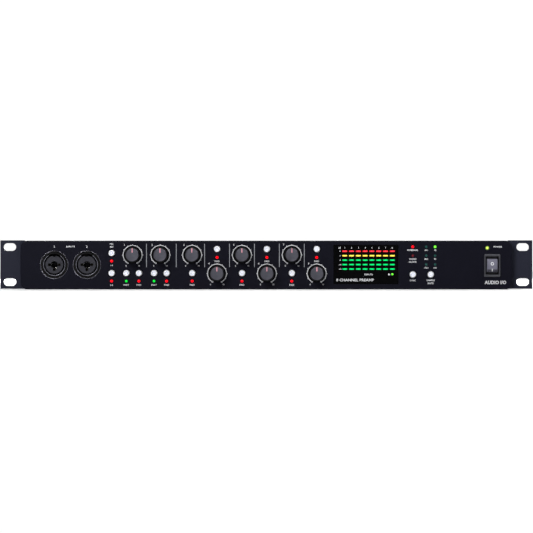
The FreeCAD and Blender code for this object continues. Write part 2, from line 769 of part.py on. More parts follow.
def top_cover():
    """Folded steel lid with side skirts and a field of vent slots over the power supply."""
    body = new_body("top_cover")
    inside = case_x + d.lid_gap
    outside = inside + d.lid_sheet
    skirt = d.case_top - d.lid_skirt
    under = d.case_top - d.lid_sheet
    profile = sketch(body, "XZ", -(rim_y + 0.2))
    polygon(
        profile,
        [
            (-outside, skirt),
            (-inside, skirt),
            (-inside, under),
            (inside, under),
            (inside, skirt),
            (outside, skirt),
            (outside, d.case_top),
            (-outside, d.case_top),
        ],
    )
    pad(body, profile, d.back_plane - rim_y - 0.2, backwards=True)

    def fold(edge):
        box_ = edge.BoundBox
        return box_.YLength > 100 and near(box_.ZMin, d.case_top)

    dress(body, "Fillet", d.lid_bend, fold)

    top_holes = sketch(body, "XY", d.case_top + 1)
    for row in range(2):
        for n in range(int(d.lid_vents.value)):
            slot_x = d.lid_vent_x + d.lid_vent_pitch * n
            slot_y = d.lid_vent_front + d.lid_vent_rows * row
            centred_rectangle(top_holes, slot_x, d.lid_vent_width, slot_y, d.lid_vent_length)
    for x in lid_rear_screws():
        back = d.back_plane - d.lid_screw_inset
        circle(top_holes, x, back, d.screw_radius + d.screw_play)
    pocket(body, top_holes, d.lid_sheet + 1.5)

    side_holes = sketch(body, "YZ", outside + 1)
    for y in lid_screw_depths():
        circle(side_holes, y, d.case_top - d.lid_skirt / 2, d.screw_radius + d.screw_play)
    pocket(body, side_holes, outside * 2 + 2)
    node(body, "top_cover")


def rear_panel():
    """Steel rear panel with folded top and bottom edges and the openings for every connector."""
    body = new_body("rear_panel")
    inner_y = d.back_plane - d.steel
    reach = case_x - d.steel - d.panel_gap
    low, high = d.steel + d.panel_gap, d.tray_top
    profile = sketch(body, "YZ", -reach)
    polygon(
        profile,
        [
            (d.back_plane, low),
            (d.back_plane, high),
            (d.back_plane - d.panel_top_fold, high),
            (d.back_plane - d.panel_top_fold, high - d.steel),
            (inner_y, high - d.steel),
            (inner_y, low + d.steel),
            (d.back_plane - d.panel_low_fold, low + d.steel),
            (d.back_plane - d.panel_low_fold, low),
        ],
    )
    pad(body, profile, reach * 2)

    openings = sketch(body, "XZ", -d.back_plane)
    for x, side in rear_sockets():
        circle(openings, x, d.socket_height, d.shell_radius + d.socket_play)
        for step in (-1, 1):
            at_x, at_z = socket_screw(x, step)
            circle(openings, at_x, at_z, d.screw_radius + d.screw_play)
    for x in line_outputs():
        circle(openings, x, d.line_height, d.bush_radius + 0.1)
    circle(openings, d.clock_socket_x, d.line_height, d.clock_body + 0.1)
    for x in optical_outputs():
        width, height = d.optical_width + 0.2, d.optical_rise + 0.2
        centred_rectangle(openings, x, width, d.optical_height, height)
    width, height = d.inlet_body_width + 0.4, d.inlet_body_rise + 0.4
    centred_rectangle(openings, d.inlet_x, width, d.inlet_height, height)
    for side in (-1, 1):
        at_x = d.inlet_x + d.inlet_screw_side * side
        circle(openings, at_x, d.inlet_height, d.screw_radius + d.screw_play)
    slot(
        openings, d.lock_slot_x, d.lock_slot_height, d.lock_slot_length, d.lock_slot_rise
    )
    pocket(body, openings, 3, backwards=True)

    lid_holes = sketch(body, "XY", d.tray_top + 1)
    for x in lid_rear_screws():
        at_y = d.back_plane - d.lid_screw_inset
        circle(lid_holes, x, at_y, d.screw_radius + d.thread_play)
    pocket(body, lid_holes, d.steel + 1.5)
    node(body, "rear_panel")


def rack_ear(label, side):
    """Steel bracket: a front plate that reaches behind the fascia, and a flange along the tray."""
    body = new_body(label)
    flange_x = case_x + d.ear_sheet
    ear_front = rim_y - d.ear_sheet
    plate = sketch(body, "XZ", -ear_front)
    edge_x = d.rack_width / 2
    rectangle(
        plate,
        (d.ear_inner * side, edge_x * side),
        (d.ear_low, d.ear_low + d.ear_height),
    )
    pad(body, plate, d.ear_sheet, backwards=True)

    flange = sketch(body, "XZ", -ear_front)
    lid_foot = d.case_top - d.lid_skirt
    rectangle(flange, (case_x * side, flange_x * side), (1.5, lid_foot - 0.5))
    pad(body, flange, d.ear_depth, backwards=True)

    def inside_bend(edge):
        box_ = edge.BoundBox
        return box_.ZLength > 20 and near(abs(box_.XMax), flange_x) and near(box_.YMax, rim_y)

    dress(body, "Fillet", 1.5, inside_bend)

    slots = sketch(body, "XZ", -ear_front)
    middle = d.ear_low + d.ear_height / 2
    for step in (-1, 1):
        slot(
            slots,
            d.slot_span * side / 2,
            middle + d.slot_rise * step / 2,
            d.slot_length,
            d.slot_height,
        )
    pocket(body, slots, d.ear_sheet + 1)

    holes = sketch(body, "YZ", flange_x * side + 5 * side)
    for y in ear_screw_depths():
        circle(holes, y, d.ear_screw_height, d.ear_screw_radius + 0.1)
    pocket(body, holes, 12, backwards=side < 0)
    node(body, label)


# ---------------------------------------------------------------- screws


def screw(name, place_head, place_shank, recess):
    """A pan head and shank joined, less the driver recess."""
    return cut(name, fuse(name + "_blank", [place_head, place_shank]), recess)


def screw_along_y(name, x, z, seat, length, towards):
    """A screw whose head sits on the depth seat and whose shank points towards -1 or +1 along Y."""
    top = seat - d.screw_head_height * towards
    head = rod_y(name + "_head", d.screw_head, (top, seat), x, z)
    end = seat + size(length) * towards
    shank = rod_y(name + "_shank", d.screw_radius, (seat, end), x, z)
    span = (top - 0.5 * towards, top + d.cross_depth * towards)
    arm = d.cross_half * 2
    recess = [
        centred_box(name + "_cross_a", x, arm, span, z, d.cross_width),
        centred_box(name + "_cross_b", x, d.cross_width, span, z, arm),
    ]
    return screw(name, head, shank, recess)


def screw_along_x(name, y, z, seat, length, side, head_radius, head_height, radius):
    """A screw through a side wall, its head outside the seat."""
    top = seat + size(head_height) * side
    head = rod_x(name + "_head", head_radius, (seat, top), y, z)
    shank = rod_x(name + "_shank", radius, (seat - size(length) * side, seat), y, z)
    span = (top - d.cross_depth * side, top + 0.5 * side)
    arm, thin = d.cross_half, d.cross_width / 2
    recess = [
        box(name + "_cross_a", span, (y - arm, y + arm), (z - thin, z + thin)),
        box(name + "_cross_b", span, (y - thin, y + thin), (z - arm, z + arm)),
    ]
    return screw(name, head, shank, recess)


def screw_down(name, x, y, seat, length):
    """A screw with its head on top."""
    top = seat + d.screw_head_height
    head = rod_z(name + "_head", d.screw_head, x, y, (seat, top))
    shank = rod_z(name + "_shank", d.screw_radius, x, y, (seat - length, seat))
    span = (top - d.cross_depth, top + 0.5)
    arm, thin = d.cross_half, d.cross_width / 2
    recess = [
        box(name + "_cross_a", (x - arm, x + arm), (y - thin, y + thin), span),
        box(name + "_cross_b", (x - thin, x + thin), (y - arm, y + arm), span),
    ]
    return screw(name, head, shank, recess)


def case_screws():
    """Screws that hold the lid, the fascia, the rear sockets and the mains inlet."""
    made = []
    skirt_x = case_x + d.lid_gap + d.lid_sheet
    skirt_z = d.case_top - d.lid_skirt / 2
    for side in (-1, 1):
        for n, y in enumerate(lid_screw_depths()):
            name = f"lid_screw_{'l' if side < 0 else 'r'}{n}"
            made.append(
                screw_along_x(
                    name, y, skirt_z, skirt_x * side, d.case_screw_length, side,
                    d.screw_head, d.screw_head_height, d.screw_radius,
                )
            )
        for n, z in enumerate((d.fixing_low, d.fixing_high)):
            name = f"fascia_screw_{'l' if side < 0 else 'r'}{n}"
            seat = rim_y + d.steel
            length = d.fascia_screw_length
            made.append(screw_along_y(name, d.fixing_x * side, z, seat, length, -1))
    for n, x in enumerate(lid_rear_screws()):
        at_y = d.back_plane - d.lid_screw_inset
        made.append(screw_down(f"lid_back_screw_{n}", x, at_y, d.case_top, d.case_screw_length))
    for n, (x, side) in enumerate(rear_sockets()):
        for step in (-1, 1):
            name = f"socket_screw_{n}{'a' if step < 0 else 'b'}"
            at_x, at_z = socket_screw(x, step)
            length = d.socket_screw_length
            made.append(screw_along_y(name, at_x, at_z, d.back_plane, length, -1))
    for side in (-1, 1):
        name = f"inlet_screw_{'l' if side < 0 else 'r'}"
        at_x = d.inlet_x + d.inlet_screw_side * side
        seat, length = d.back_plane + d.inlet_plate_sheet, d.inlet_screw_length
        made.append(screw_along_y(name, at_x, d.inlet_height, seat, length, -1))
    group("case_screws", made)


def ear_screws():
    """Screws that hold the ears to the tray walls."""
    made = []
    for side in (-1, 1):
        seat = (case_x + d.ear_sheet) * side
        for n, y in enumerate(ear_screw_depths()):
            name = f"ear_screw_{'l' if side < 0 else 'r'}{n}"
            made.append(
                screw_along_x(
                    name, y, d.ear_screw_height, seat, d.ear_screw_length, side,
                    d.ear_screw_head, d.ear_screw_rise, d.ear_screw_radius,
                )
            )
    group("ear_screws", made)


# ---------------------------------------------------------------- knobs, buttons and lights


def gain_knob(channel, x, z):
    """A tapered knob with a dished face and a pointer groove, on its potentiometer shaft."""
    knob = new_body(f"gain_knob_{channel}_cap")
    profile = sketch(knob, "XZ")
    top = d.knob_height
    polygon(
        profile,
        [
            (d.shaft_radius + 0.02, d.knob_gap),
            (d.knob_foot, d.knob_gap),
            (d.knob_foot, d.knob_gap + 1.6),
            (d.knob_crown + 0.5, top - 1.4),
            (d.knob_crown, top - 0.5),
            (d.knob_crown - 0.6, top),
            (d.knob_crown - 1.2, top - 0.25),
            (0, top - 0.25),
            (0, top - 2.5),
            (d.shaft_radius + 0.02, top - 2.5),
        ],
    )
    revolve(knob, profile)
    groove = sketch(knob, "XY", top + 1)
    centred_rectangle(groove, size(0), d.pointer_width, d.knob_crown - 1.8, d.pointer_length)
    pocket(knob, groove, 1.7)
    place(knob, x, face_y, z, TO_FRONT)

    shaft_end = face_y - d.knob_height + 2.55
    pot_front = face_y + d.control_depth - d.pot_depth
    shaft = rod_y(f"shaft_{channel}_round", d.shaft_radius, (shaft_end, pot_front - 0.1), x, z)
    group(f"gain_knob_{channel}", [knob, shaft])


def push_button(label, x, z):
    """A round button cap with a dished face, a retaining collar and a stem."""
    body = new_body(label)
    profile = sketch(body, "XZ")
    collar_front = -(d.fascia_skin + 0.3)
    collar_back = collar_front - 0.9
    foot = -(d.control_depth - d.tact_depth - d.button_travel - 0.15)
    polygon(
        profile,
        [
            (0, d.button_proud - 0.35),
            (d.button_radius * 0.45, d.button_proud - 0.3),
            (d.button_radius * 0.62, d.button_proud - 0.02),
            (d.button_radius - 0.6, d.button_proud),
            (d.button_radius - 0.2, d.button_proud - 0.2),
            (d.button_radius, d.button_proud - 0.7),
            (d.button_radius, collar_front),
            (d.button_radius + d.button_collar, collar_front),
            (d.button_radius + d.button_collar, collar_back),
            (d.stem_radius, collar_back),
            (d.stem_radius, foot),
            (0, foot),
        ],
    )
    revolve(body, profile)
    place(body, x, face_y, z, TO_FRONT)
    node(body, label)


def lens_group(label, places, radius, proud, reach):
    """Round light pipes through the fascia."""
    pipes = [
        rod_y(f"{label}_{n}", radius, (face_y - proud, face_y + reach), x, z)
        for n, (x, z) in enumerate(places)
    ]
    group(label, pipes)


def meter_rows(label, rows):
    """Rectangular light guides of some rows of the level meter."""
    bars = []
    for row in rows:
        z = d.bar_low + d.bar_rise * row
        for column in range(8):
            x = d.bar_left + d.bar_pitch * column
            name = f"{label}_{row}_{column}"
            y = (face_y, face_y + d.control_depth - 1)
            bars.append(centred_box(name, x, d.bar_width, y, z, d.bar_height))
    return bars


def display():
    """The display window with its apertures, and the light guides that fill them."""
    body = new_body("display_window")
    plate = sketch(body, "XZ", d.front_plane)
    right, high = d.window_left + d.window_width, d.window_low + d.window_height
    rectangle(plate, (d.window_left, right), (d.window_low, high))
    pad(body, plate, d.fascia_skin + 0.05, backwards=True)
    lip = sketch(body, "XZ", -(skin_y + 0.05))
    rectangle(
        lip,
        (d.window_left - 1, right + 1),
        (d.window_low - 1, high + 0.8),
    )
    pad(body, lip, d.window_lip, backwards=True)
    apertures = sketch(body, "XZ", d.front_plane)
    for row in range(5):
        for column in range(8):
            centred_rectangle(
                apertures,
                d.bar_left + d.bar_pitch * column,
                d.bar_width + 0.1,
                d.bar_low + d.bar_rise * row,
                d.bar_height + 0.1,
            )
    circle(apertures, d.lock_x, d.lock_height, d.lock_radius + 0.05)
    pocket(body, apertures, d.fascia_skin + 2)
    node(body, "display_window")

    group("meter_lights_red", meter_rows("red_bar", [4]))
    group("meter_lights_yellow", meter_rows("yellow_bar", [3]))
    lock_depth = (face_y, face_y + d.control_depth - 1)
    lock = rod_y("lock_pipe", d.lock_radius, lock_depth, d.lock_x, d.lock_height)
    group("meter_lights_green", meter_rows("green_bar", [0, 1, 2]) + [lock])


def power_switch():
    """Mains rocker switch: a framed housing, and the rocker on its pivot."""
    x, z = d.switch_x, d.switch_height
    body_back = face_y + d.switch_depth
    frame = centred_box(
        "switch_frame", x, d.switch_frame_width, (face_y - d.switch_proud, face_y), z,
        d.switch_frame_height,
    )
    frame_edges = doc.addObject("Part::Chamfer", "switch_frame_edges")
    doc.recompute()
    frame_edges.Base = frame
    front = [
        (n, d.switch_bevel.value, d.switch_bevel.value)
        for n, edge in enumerate(frame.Shape.Edges, start=1)
        if near(edge.BoundBox.YMax, face_y - d.switch_proud)
    ]
    frame_edges.Edges = front
    core = centred_box(
        "switch_core", x, d.switch_body_width, (face_y - 0.5, body_back), z, d.switch_body_height
    )
    tabs = [
        centred_box(
            f"switch_tab_{n}", x, d.tab_width, (body_back, body_back + d.tab_length),
            z + d.tab_rise * n, d.tab_sheet,
        )
        for n in (-1, 1)
    ]
    well = centred_box(
        "switch_well", x, d.rocker_width + 1.2, (face_y - d.switch_proud - 1, face_y + d.switch_well), z,
        d.rocker_half * 2 + 1.6,
    )
    pivot_y = face_y + d.rocker_pivot
    pivot_hole = rod_x(
        "switch_pivot_hole",
        d.rocker_pin + 0.06,
        (x - d.switch_body_width / 2 - 1, x + d.switch_body_width / 2 + 1),
        pivot_y,
        z,
    )
    solid = fuse("switch_solid", [frame_edges, core] + tabs)
    housing = cut("power_switch_housing", solid, [well, pivot_hole])
    node(housing, "power_switch_housing")

    body = new_body("power_rocker")
    profile = sketch(body, "YZ", -d.rocker_width / 2)
    half = d.rocker_half
    polygon(
        profile,
        [
            (-3, half),
            (-1.2, half * 0.5),
            (-0.7, 0),
            (-1.2, -half * 0.5),
            (-3, -half),
            (1.5, -half),
            (5, -2.6),
            (6.5, -1),
            (6.5, 1),
            (5, 2.6),
            (1.5, half),
        ],
    )
    pad(body, profile, d.rocker_width)
    pins = sketch(body, "YZ", -(d.rocker_width / 2 + 1))
    circle(pins, 0, 0, d.rocker_pin)
    pad(body, pins, d.rocker_width + 2)

    def face_edge(edge):
        box_ = edge.BoundBox
        return box_.XLength > 8 and near(box_.YMin, -3) and near(box_.YMax, -3)

    dress(body, "Fillet", 0.5, face_edge)
    place(body, x, pivot_y, z, Rotation(Vector(1, 0, 0), d.rocker_tilt.value))
    bind(body, ".Placement.Rotation.Angle", d.rocker_tilt)
    node(body, "power_rocker")


# ---------------------------------------------------------------- sockets


def input_shell(name, x, side, panel):
    """Housing of a combined microphone and line socket."""
    z = d.socket_height
    nose = rod_y(name + "_nose", d.shell_radius, (depth(side, 0.3), depth(side, panel + 0.2)), x, z)
    block = centred_box(
        name + "_block", x, d.shell_width, (depth(side, panel + 0.05), depth(side, d.shell_depth)),
        z, d.shell_height,
    )
    mouth = (depth(side, -1), depth(side, d.plug_depth))
    plug_space = rod_y(name + "_plug_space", d.shell_bore, mouth, x, z)
    seat = rod_y(
        name + "_seat", d.insert_radius + 0.05,
        (depth(side, d.plug_depth - 1), depth(side, d.shell_depth - 1)), x, z,
    )
    latch = centred_box(
        name + "_latch", x, d.latch_width, (depth(side, -1), depth(side, d.latch_depth)),
        z + d.latch_rise, d.latch_height,
    )
    tools = [plug_space, seat, latch]
    if side == REAR:
        for step in (-1, 1):
            at_x, at_z = socket_screw(x, step)
            tools.append(
                rod_y(
                    f"{name}_fixing_{'a' if step < 0 else 'b'}", d.screw_radius + d.thread_play,
                    (depth(side, 0), depth(side, d.socket_screw_length + 0.5)), at_x, at_z,
                )
            )
    return cut(name, fuse(name + "_solid", [nose, block]), tools)


def pin_places(x):
    """The three plug pins about a socket axis: both sides and below."""
    z = d.socket_height
    return [(x - d.pin_orbit, z), (x + d.pin_orbit, z), (x, z - d.pin_orbit)]


def input_insert(name, x, side):
    """Contact insert: three pin holes round the quarter-inch bore, and a key notch on top."""
    z = d.socket_height
    back = depth(side, d.shell_depth - 1)
    core = rod_y(name + "_core", d.insert_radius, (depth(side, 1), back), x, z)
    tools = [rod_y(name + "_bore", d.jack_radius, (depth(side, 0), depth(side, 23)), x, z)]
    for n, (pin_x, pin_z) in enumerate(pin_places(x)):
        span = (depth(side, 0), depth(side, 20))
        tools.append(rod_y(f"{name}_pin_{n}", d.pin_hole, span, pin_x, pin_z))
    notch_z = z + d.insert_radius
    tools.append(
        centred_box(
            name + "_key", x, d.key_width, (depth(side, 0), depth(side, d.plug_depth - 1)),
            notch_z, d.key_height,
        )
    )
    return cut(name, core, tools)


def contact(name, x, z, side):
    """A socket contact: a short tube at the bottom of its pin hole."""
    tube = rod_y(name + "_tube", d.contact_radius, (depth(side, 4), depth(side, 20)), x, z)
    bore = rod_y(name + "_bore", d.contact_bore, (depth(side, 3), depth(side, 16)), x, z)
    return cut(name, tube, [bore])


def input_sockets():
    """Shells, inserts and contacts of the two front and six rear sockets."""
    front = [(f"front_shell_{n}", x, side) for n, (x, side) in enumerate(front_sockets(), 1)]
    rear = [(f"rear_shell_{n}", x, side) for n, (x, side) in enumerate(rear_sockets(), 1)]
    group("front_input_shells", [input_shell(name, x, s, d.fascia_skin) for name, x, s in front])
    group("rear_input_shells", [input_shell(name, x, s, d.steel) for name, x, s in rear])
    everywhere = front_sockets() + rear_sockets()
    group(
        "input_inserts",
        [input_insert(f"insert_{n}", x, side) for n, (x, side) in enumerate(everywhere, 1)],
    )
    contacts = []
    for n, (x, side) in enumerate(everywhere, 1):
        for pin, (pin_x, pin_z) in enumerate(pin_places(x), 1):
            contacts.append(contact(f"contact_{n}_{pin}", pin_x, pin_z, side))
    group("input_contacts", contacts)


def line_output_jacks():
    """Quarter-inch line outputs: bodies with threaded bushes, and their nuts."""
    jacks, nuts = [], []
    board_top = d.board_low + d.board_sheet + 0.1
    z = d.line_height
    for n, x in enumerate(line_outputs(), 1):
        name = f"line_jack_{n}"
        block = box(
            name + "_block",
            (x - d.jack_half, x + d.jack_half),
            (d.back_plane - d.jack_length, d.back_plane - d.steel - 0.05),
            (board_top, z + d.jack_half),
        )
        bush_span = (d.back_plane - d.steel - 1, d.back_plane + d.bush_proud)
        bush = rod_y(name + "_bush", d.bush_radius, bush_span, x, z)
        bore_span = (d.back_plane - d.jack_bore, d.back_plane + d.bush_proud + 1)
        bore = rod_y(name + "_bore", d.jack_radius, bore_span, x, z)
        jacks.append(cut(name, fuse(name + "_solid", [block, bush]), [bore]))
        prism = doc.addObject("Part::Prism", f"line_nut_{n}_hex")
        prism.Polygon = 6
        bind(prism, "Circumradius", d.nut_corner)
        bind(prism, "Height", d.nut_height)
        place(prism, x, d.back_plane + d.seat_gap, z, ALONG_Y)
        thread_span = (d.back_plane - 1, d.back_plane + 4)
        thread = rod_y(f"line_nut_{n}_thread", d.bush_radius + 0.06, thread_span, x, z)
        nuts.append(cut(f"line_nut_{n}", prism, [thread]))
    group("line_output_jacks", jacks)
    group("line_output_nuts", nuts)


def word_clock_socket():
    """Bayonet coaxial socket with its insulator and centre contact as one assembly."""
    x, z, back = d.clock_socket_x, d.line_height, d.back_plane
    end = back + d.clock_socket_length
    floor = back + 2.5
    tip = back + 6.5
    barrel = rod_y("clock_barrel", d.clock_barrel, (back, end), x, z)
    collar = rod_y("clock_collar", d.clock_collar, (back + d.seat_gap, back + 1.8), x, z)
    rear = rod_y("clock_rear", d.clock_body, (back - d.clock_body_length, back + 0.5), x, z)
    lug_span = (x - d.lug_reach, x + d.lug_reach)
    lugs = rod_x("clock_lugs", d.lug_radius, lug_span, back + d.lug_depth, z)
    bore = rod_y("clock_bore", d.clock_bore, (floor, end + 1), x, z)
    solid = fuse("clock_solid", [barrel, collar, rear, lugs])
    shell = cut("clock_shell", solid, [bore])
    insulator = rod_y("clock_insulator", 2.3, (floor, tip), x, z)
    pin = rod_y("clock_pin", 0.6, (tip, back + 8.2), x, z)
    group("word_clock_socket", [shell, insulator, pin])


def optical_output(n, x):
    """Optical output: housing with a port, and its dust flap hinged along the top."""
    z, back = d.optical_height, d.back_plane
    outer = back + d.optical_proud
    inner = back - d.steel - 0.05
    nose = centred_box(
        f"optical_nose_{n}", x, d.optical_width, (back - 2, outer), z, d.optical_rise
    )
    block = centred_box(
        f"optical_block_{n}", x, d.optical_body_width, (back - d.optical_body_length, inner), z,
        d.optical_body_rise,
    )
    port = centred_box(
        f"optical_port_{n}", x, d.port_width, (back - d.port_depth, outer + 1), z, d.port_rise
    )
    hinge_y, hinge_z = back + d.flap_hinge_depth, z + d.flap_hinge_rise
    hole_reach, pin_reach = d.port_width / 2 + 0.8, d.port_width / 2 + 0.5
    pin_hole = rod_x(
        f"optical_hole_{n}", d.flap_pin + 0.06, (x - hole_reach, x + hole_reach), hinge_y, hinge_z
    )
    solid = fuse(f"optical_solid_{n}", [nose, block])
    housing = cut(f"optical_housing_{n}", solid, [port, pin_hole])

    thick = (hinge_y - d.flap_sheet / 2, hinge_y + d.flap_sheet / 2)
    leaf = centred_box(f"flap_leaf_{n}", x, d.flap_width, thick, z - 0.25, d.flap_rise)
    pin = rod_x(f"flap_pin_{n}", d.flap_pin, (x - pin_reach, x + pin_reach), hinge_y, hinge_z)
    flap = fuse(f"optical_flap_{n}", [leaf, pin])
    node(flap, f"optical_flap_{n}")
    return housing


def mains_inlet():
    """Flanged mains inlet and its three blades."""
    x, z, back = d.inlet_x, d.inlet_height, d.back_plane
    outer = back + d.inlet_plate_sheet
    plate = centred_box(
        "inlet_plate", x, d.inlet_plate_width, (back + d.seat_gap, outer), z, d.inlet_plate_rise
    )
    block = centred_box(
        "inlet_block", x, d.inlet_body_width, (back - d.inlet_body_depth, back + 1), z,
        d.inlet_body_rise,
    )
    floor = back - d.inlet_cavity_depth
    cavity = centred_box(
        "inlet_cavity", x, d.inlet_cavity_width, (floor, outer + 1), z, d.inlet_cavity_rise
    )
    tools = [cavity]
    for side in (-1, 1):
        at_x = x + d.inlet_screw_side * side
        hole = (back - 1, outer + 1)
        tools.append(rod_y(f"inlet_hole_{side + 1}", d.screw_radius + d.screw_play, hole, at_x, z))
    node(cut("mains_inlet", fuse("inlet_solid", [plate, block]), tools), "mains_inlet")
    blades = []
    for n, (dx, dz) in enumerate(((-d.blade_side, -2), (size(0), 2.2), (d.blade_side, -2))):
        span = (floor, back - 2)
        blades.append(
            centred_box(f"inlet_blade_{n}", x + dx, d.blade_sheet, span, z + dz, d.blade_rise)
        )
    group("mains_inlet_pins", blades)


# ---------------------------------------------------------------- inside


def chip(name, x, y, width, length, base, height):
    """A block on a board, about x and y."""
    return box(name, (x - width / 2, x + width / 2), (y - length / 2, y + length / 2),
               (base, base + height))


# kind, number, first x, spacing, y, width, length, height
CHIP_ROWS = [
    ("preamp_chip", 8, -196, 34, 70, 6, 9, 1.6),
    ("converter_chip", 4, -150, 60, 46, 10, 10, 1.4),
    ("processor_chip", 1, 88, 0, 48, 20, 20, 2.0),
]
# number, first x, spacing, y, radius, height
BOARD_CAPACITORS = (14, -205, 20, 32, 3.1, 8)
# x, y, radius, height
SUPPLY_CAPACITORS = [
    (138, -55, 9, 28),
    (150, 28, 6, 22),
    (165, 28, 6, 22),
    (180, 28, 6, 22),
    (196, 28, 5, 16),
]
# x, y of the pillars under the flat boards
BOARD_PILLARS = [
    (-210, 30),
    (-210, 92),
    (-110, 55),
    (0, 55),
    (106, 30),
    (106, 90),
    (127, -67),
    (127, 44),
    (203, -67),
    (203, 44),
]
FRONT_PILLAR_X = (-145.3, 55.6, 157)
FRONT_PILLAR_Z = (6.5, 37.5)
# x at the inlet, x along the side wall, height of each mains lead
LEAD_LANES = [(176, 210.5, 16.6), (190, 214.5, 26.6)]


def main_board():
    """Converter board under the rear connectors, with its chips and capacitors."""
    low = d.board_low
    top = low + d.board_sheet
    board = box("main_board_sheet", (-216, 112), (24, d.back_plane - 2), (low, top))
    parts = [board]
    for kind, count, first, spacing, y, width, length, height in CHIP_ROWS:
        for n in range(count):
            x = size(first + spacing * n)
            parts.append(chip(f"{kind}_{n}", x, size(y), width, length, top, height))
    count, first, spacing, y, radius, height = BOARD_CAPACITORS
    for n in range(count):
        x = size(first + spacing * n)
        name = f"board_capacitor_{n}"
        parts.append(rod_z(name, radius, x, size(y), (top, top + height)))
    group("main_board", parts)


def control_board():
    """Upright board behind the fascia, carrying the pots, switches and lights."""
    front = face_y + d.control_depth
    board = box("control_board_sheet", (-148, 160), (front, front + d.board_sheet), (3, 41))
    link = box(
        "control_board_socket",
        (-20, 20),
        (front + d.board_sheet, front + d.board_sheet + 6),
        (14, 22),
    )
    group("control_board", [board, link])


def gain_pots():
    """Potentiometer bodies on the control board."""
    front = face_y + d.control_depth
    pots = []
    for n, (x, z) in enumerate(knob_places(), 1):
        span = (front - d.pot_depth, front)
        pots.append(centred_box(f"pot_{n}", x, d.pot_width, span, z, d.pot_height))
    group("gain_pots", pots)


def button_switches():
    """Tactile switches behind the push buttons."""
    front = face_y + d.control_depth
    switches = []
    for n, (x, z) in enumerate(button_places().values()):
        name, span = f"button_switch_{n}", (front - d.tact_depth, front)
        switches.append(centred_box(name, x, d.tact_width, span, z, d.tact_width))
    group("button_switches", switches)


def power_supply():
    """Power supply board with heat sink and capacitors, and its transformer."""
    low = d.board_low
    top = low + d.board_sheet
    board = box("supply_sheet", (122, 208), (-72, 50), (low, top))
    parts = [board]
    for n, (x, y, radius, height) in enumerate(SUPPLY_CAPACITORS):
        parts.append(rod_z(f"supply_capacitor_{n}", radius, size(x), size(y), (top, top + height)))
    left, fin_pitch, fin_sheet, sink_height = 156, 6.4, 2, 26
    sink = (top, top + sink_height)
    pieces = [box("heat_sink_base", (left, left + 48), (-62, -58), sink)]
    for n in range(8):
        start = left + fin_pitch * n
        pieces.append(box(f"heat_sink_fin_{n}", (start, start + fin_sheet), (-58.5, -48), sink))
    parts.append(fuse("heat_sink", pieces))
    parts.append(box("supply_fuse", (127, 146), (-38, -32), (top, top + 7)))
    group("power_supply_board", parts)

    core = box("transformer_core", (150, 184), (-36, -4), (top, top + 24))
    winding = box("transformer_winding", (154, 180), (-41, 1), (top + 3, top + 21))
    node(fuse("power_transformer", [core, winding]), "power_transformer")


def board_standoffs():
    """Pillars under the flat boards and behind the fascia."""
    made = []
    for n, (x, y) in enumerate(BOARD_PILLARS):
        rise = (d.steel, d.board_low)
        made.append(rod_z(f"pillar_{n}", d.supply_pillar, size(x), size(y), rise))
    reach = (skin_y, face_y + d.control_depth)
    for n, x in enumerate(FRONT_PILLAR_X):
        for m, z in enumerate(FRONT_PILLAR_Z):
            name = f"front_pillar_{n}_{m}"
            made.append(rod_y(name, d.front_pillar, reach, size(x), size(z)))
    group("board_standoffs", made)


def ribbon_cable():
    """Flat cable from the control board to the main board, lying over the tray floor."""
    start = face_y + d.control_depth + d.board_sheet + 6
    body = new_body("ribbon_cable")
    profile = sketch(body, "YZ", -d.ribbon_half)
    thick = 0.9
    polygon(
        profile,
        [
            (start, 18.4),
            (start + 14, 18.4),
            (start + 30, 3),
            (size(4), 3),
            (size(20), 12),
            (size(27), 12),
            (size(27), 7.2),
            (size(27 + thick), 7.2),
            (size(27 + thick), 12 + thick),
            (size(20 - thick / 2), 12 + thick),
            (size(4 - thick / 2), 3 + thick),
            (start + 30 + thick / 2, 3 + thick),
            (start + 14 + thick / 2, 18.4 + thick),
            (start, 18.4 + thick),
        ],
    )
    pad(body, profile, d.ribbon_half * 2)

    def bend(edge):
        box_ = edge.BoundBox
        return box_.XLength > 20 and start.value + 10 < box_.YMin < 21

    dress(body, "Fillet", d.ribbon_bend, bend)
    node(body, "ribbon_cable")


def mains_leads():
    """Two insulated wires from the mains inlet forward to the power switch."""
    terminal = face_y + d.switch_depth + d.tab_length
    back = d.back_plane - d.inlet_body_depth
    wires = []
    for n, (start_x, lane, height) in enumerate(LEAD_LANES):
        route = [
            (start_x, back, height),
            (start_x, back - 14, height),
            (lane, back - 34, height),
            (lane, terminal + 20, height),
            (d.switch_x, terminal + 8, height),
            (d.switch_x, terminal, height),
        ]
        wires.append(round_wire(f"mains_lead_{n}", route, d.wire_radius.value))
    group("mains_leads", wires)


def round_wire(name, route, radius):
    """A wire swept along its route, each corner turned by a tangent arc."""
    corners = [Vector(*[size(c).value for c in point]) for point in route]
    edges, here = [], corners[0]
    for before, corner, after in zip(corners, corners[1:], corners[2:]):
        into, out = (corner - before).normalize(), (after - corner).normalize()
        room = 0.45 * min((corner - before).Length, (after - corner).Length)
        start, end = corner - into * room, corner + out * room
        half_turn = into.getAngle(out) / 2
        bend = room / math.tan(half_turn)
        chord_middle = (start + end) * 0.5
        outwards = (corner - chord_middle).normalize()
        middle = chord_middle + outwards * bend * (1 - math.cos(half_turn))
        edges.append(Part.LineSegment(here, start).toShape())
        edges.append(Part.Arc(start, middle, end).toShape())
        here = end
    edges.append(Part.LineSegment(here, corners[-1]).toShape())
    path = Part.Wire(edges)
    section = Part.Wire(Part.makeCircle(radius, corners[0], corners[1] - corners[0]))
    wire = doc.addObject("Part::Feature", name)
    wire.Shape = path.makePipeShell([section], True, False)
    return wire


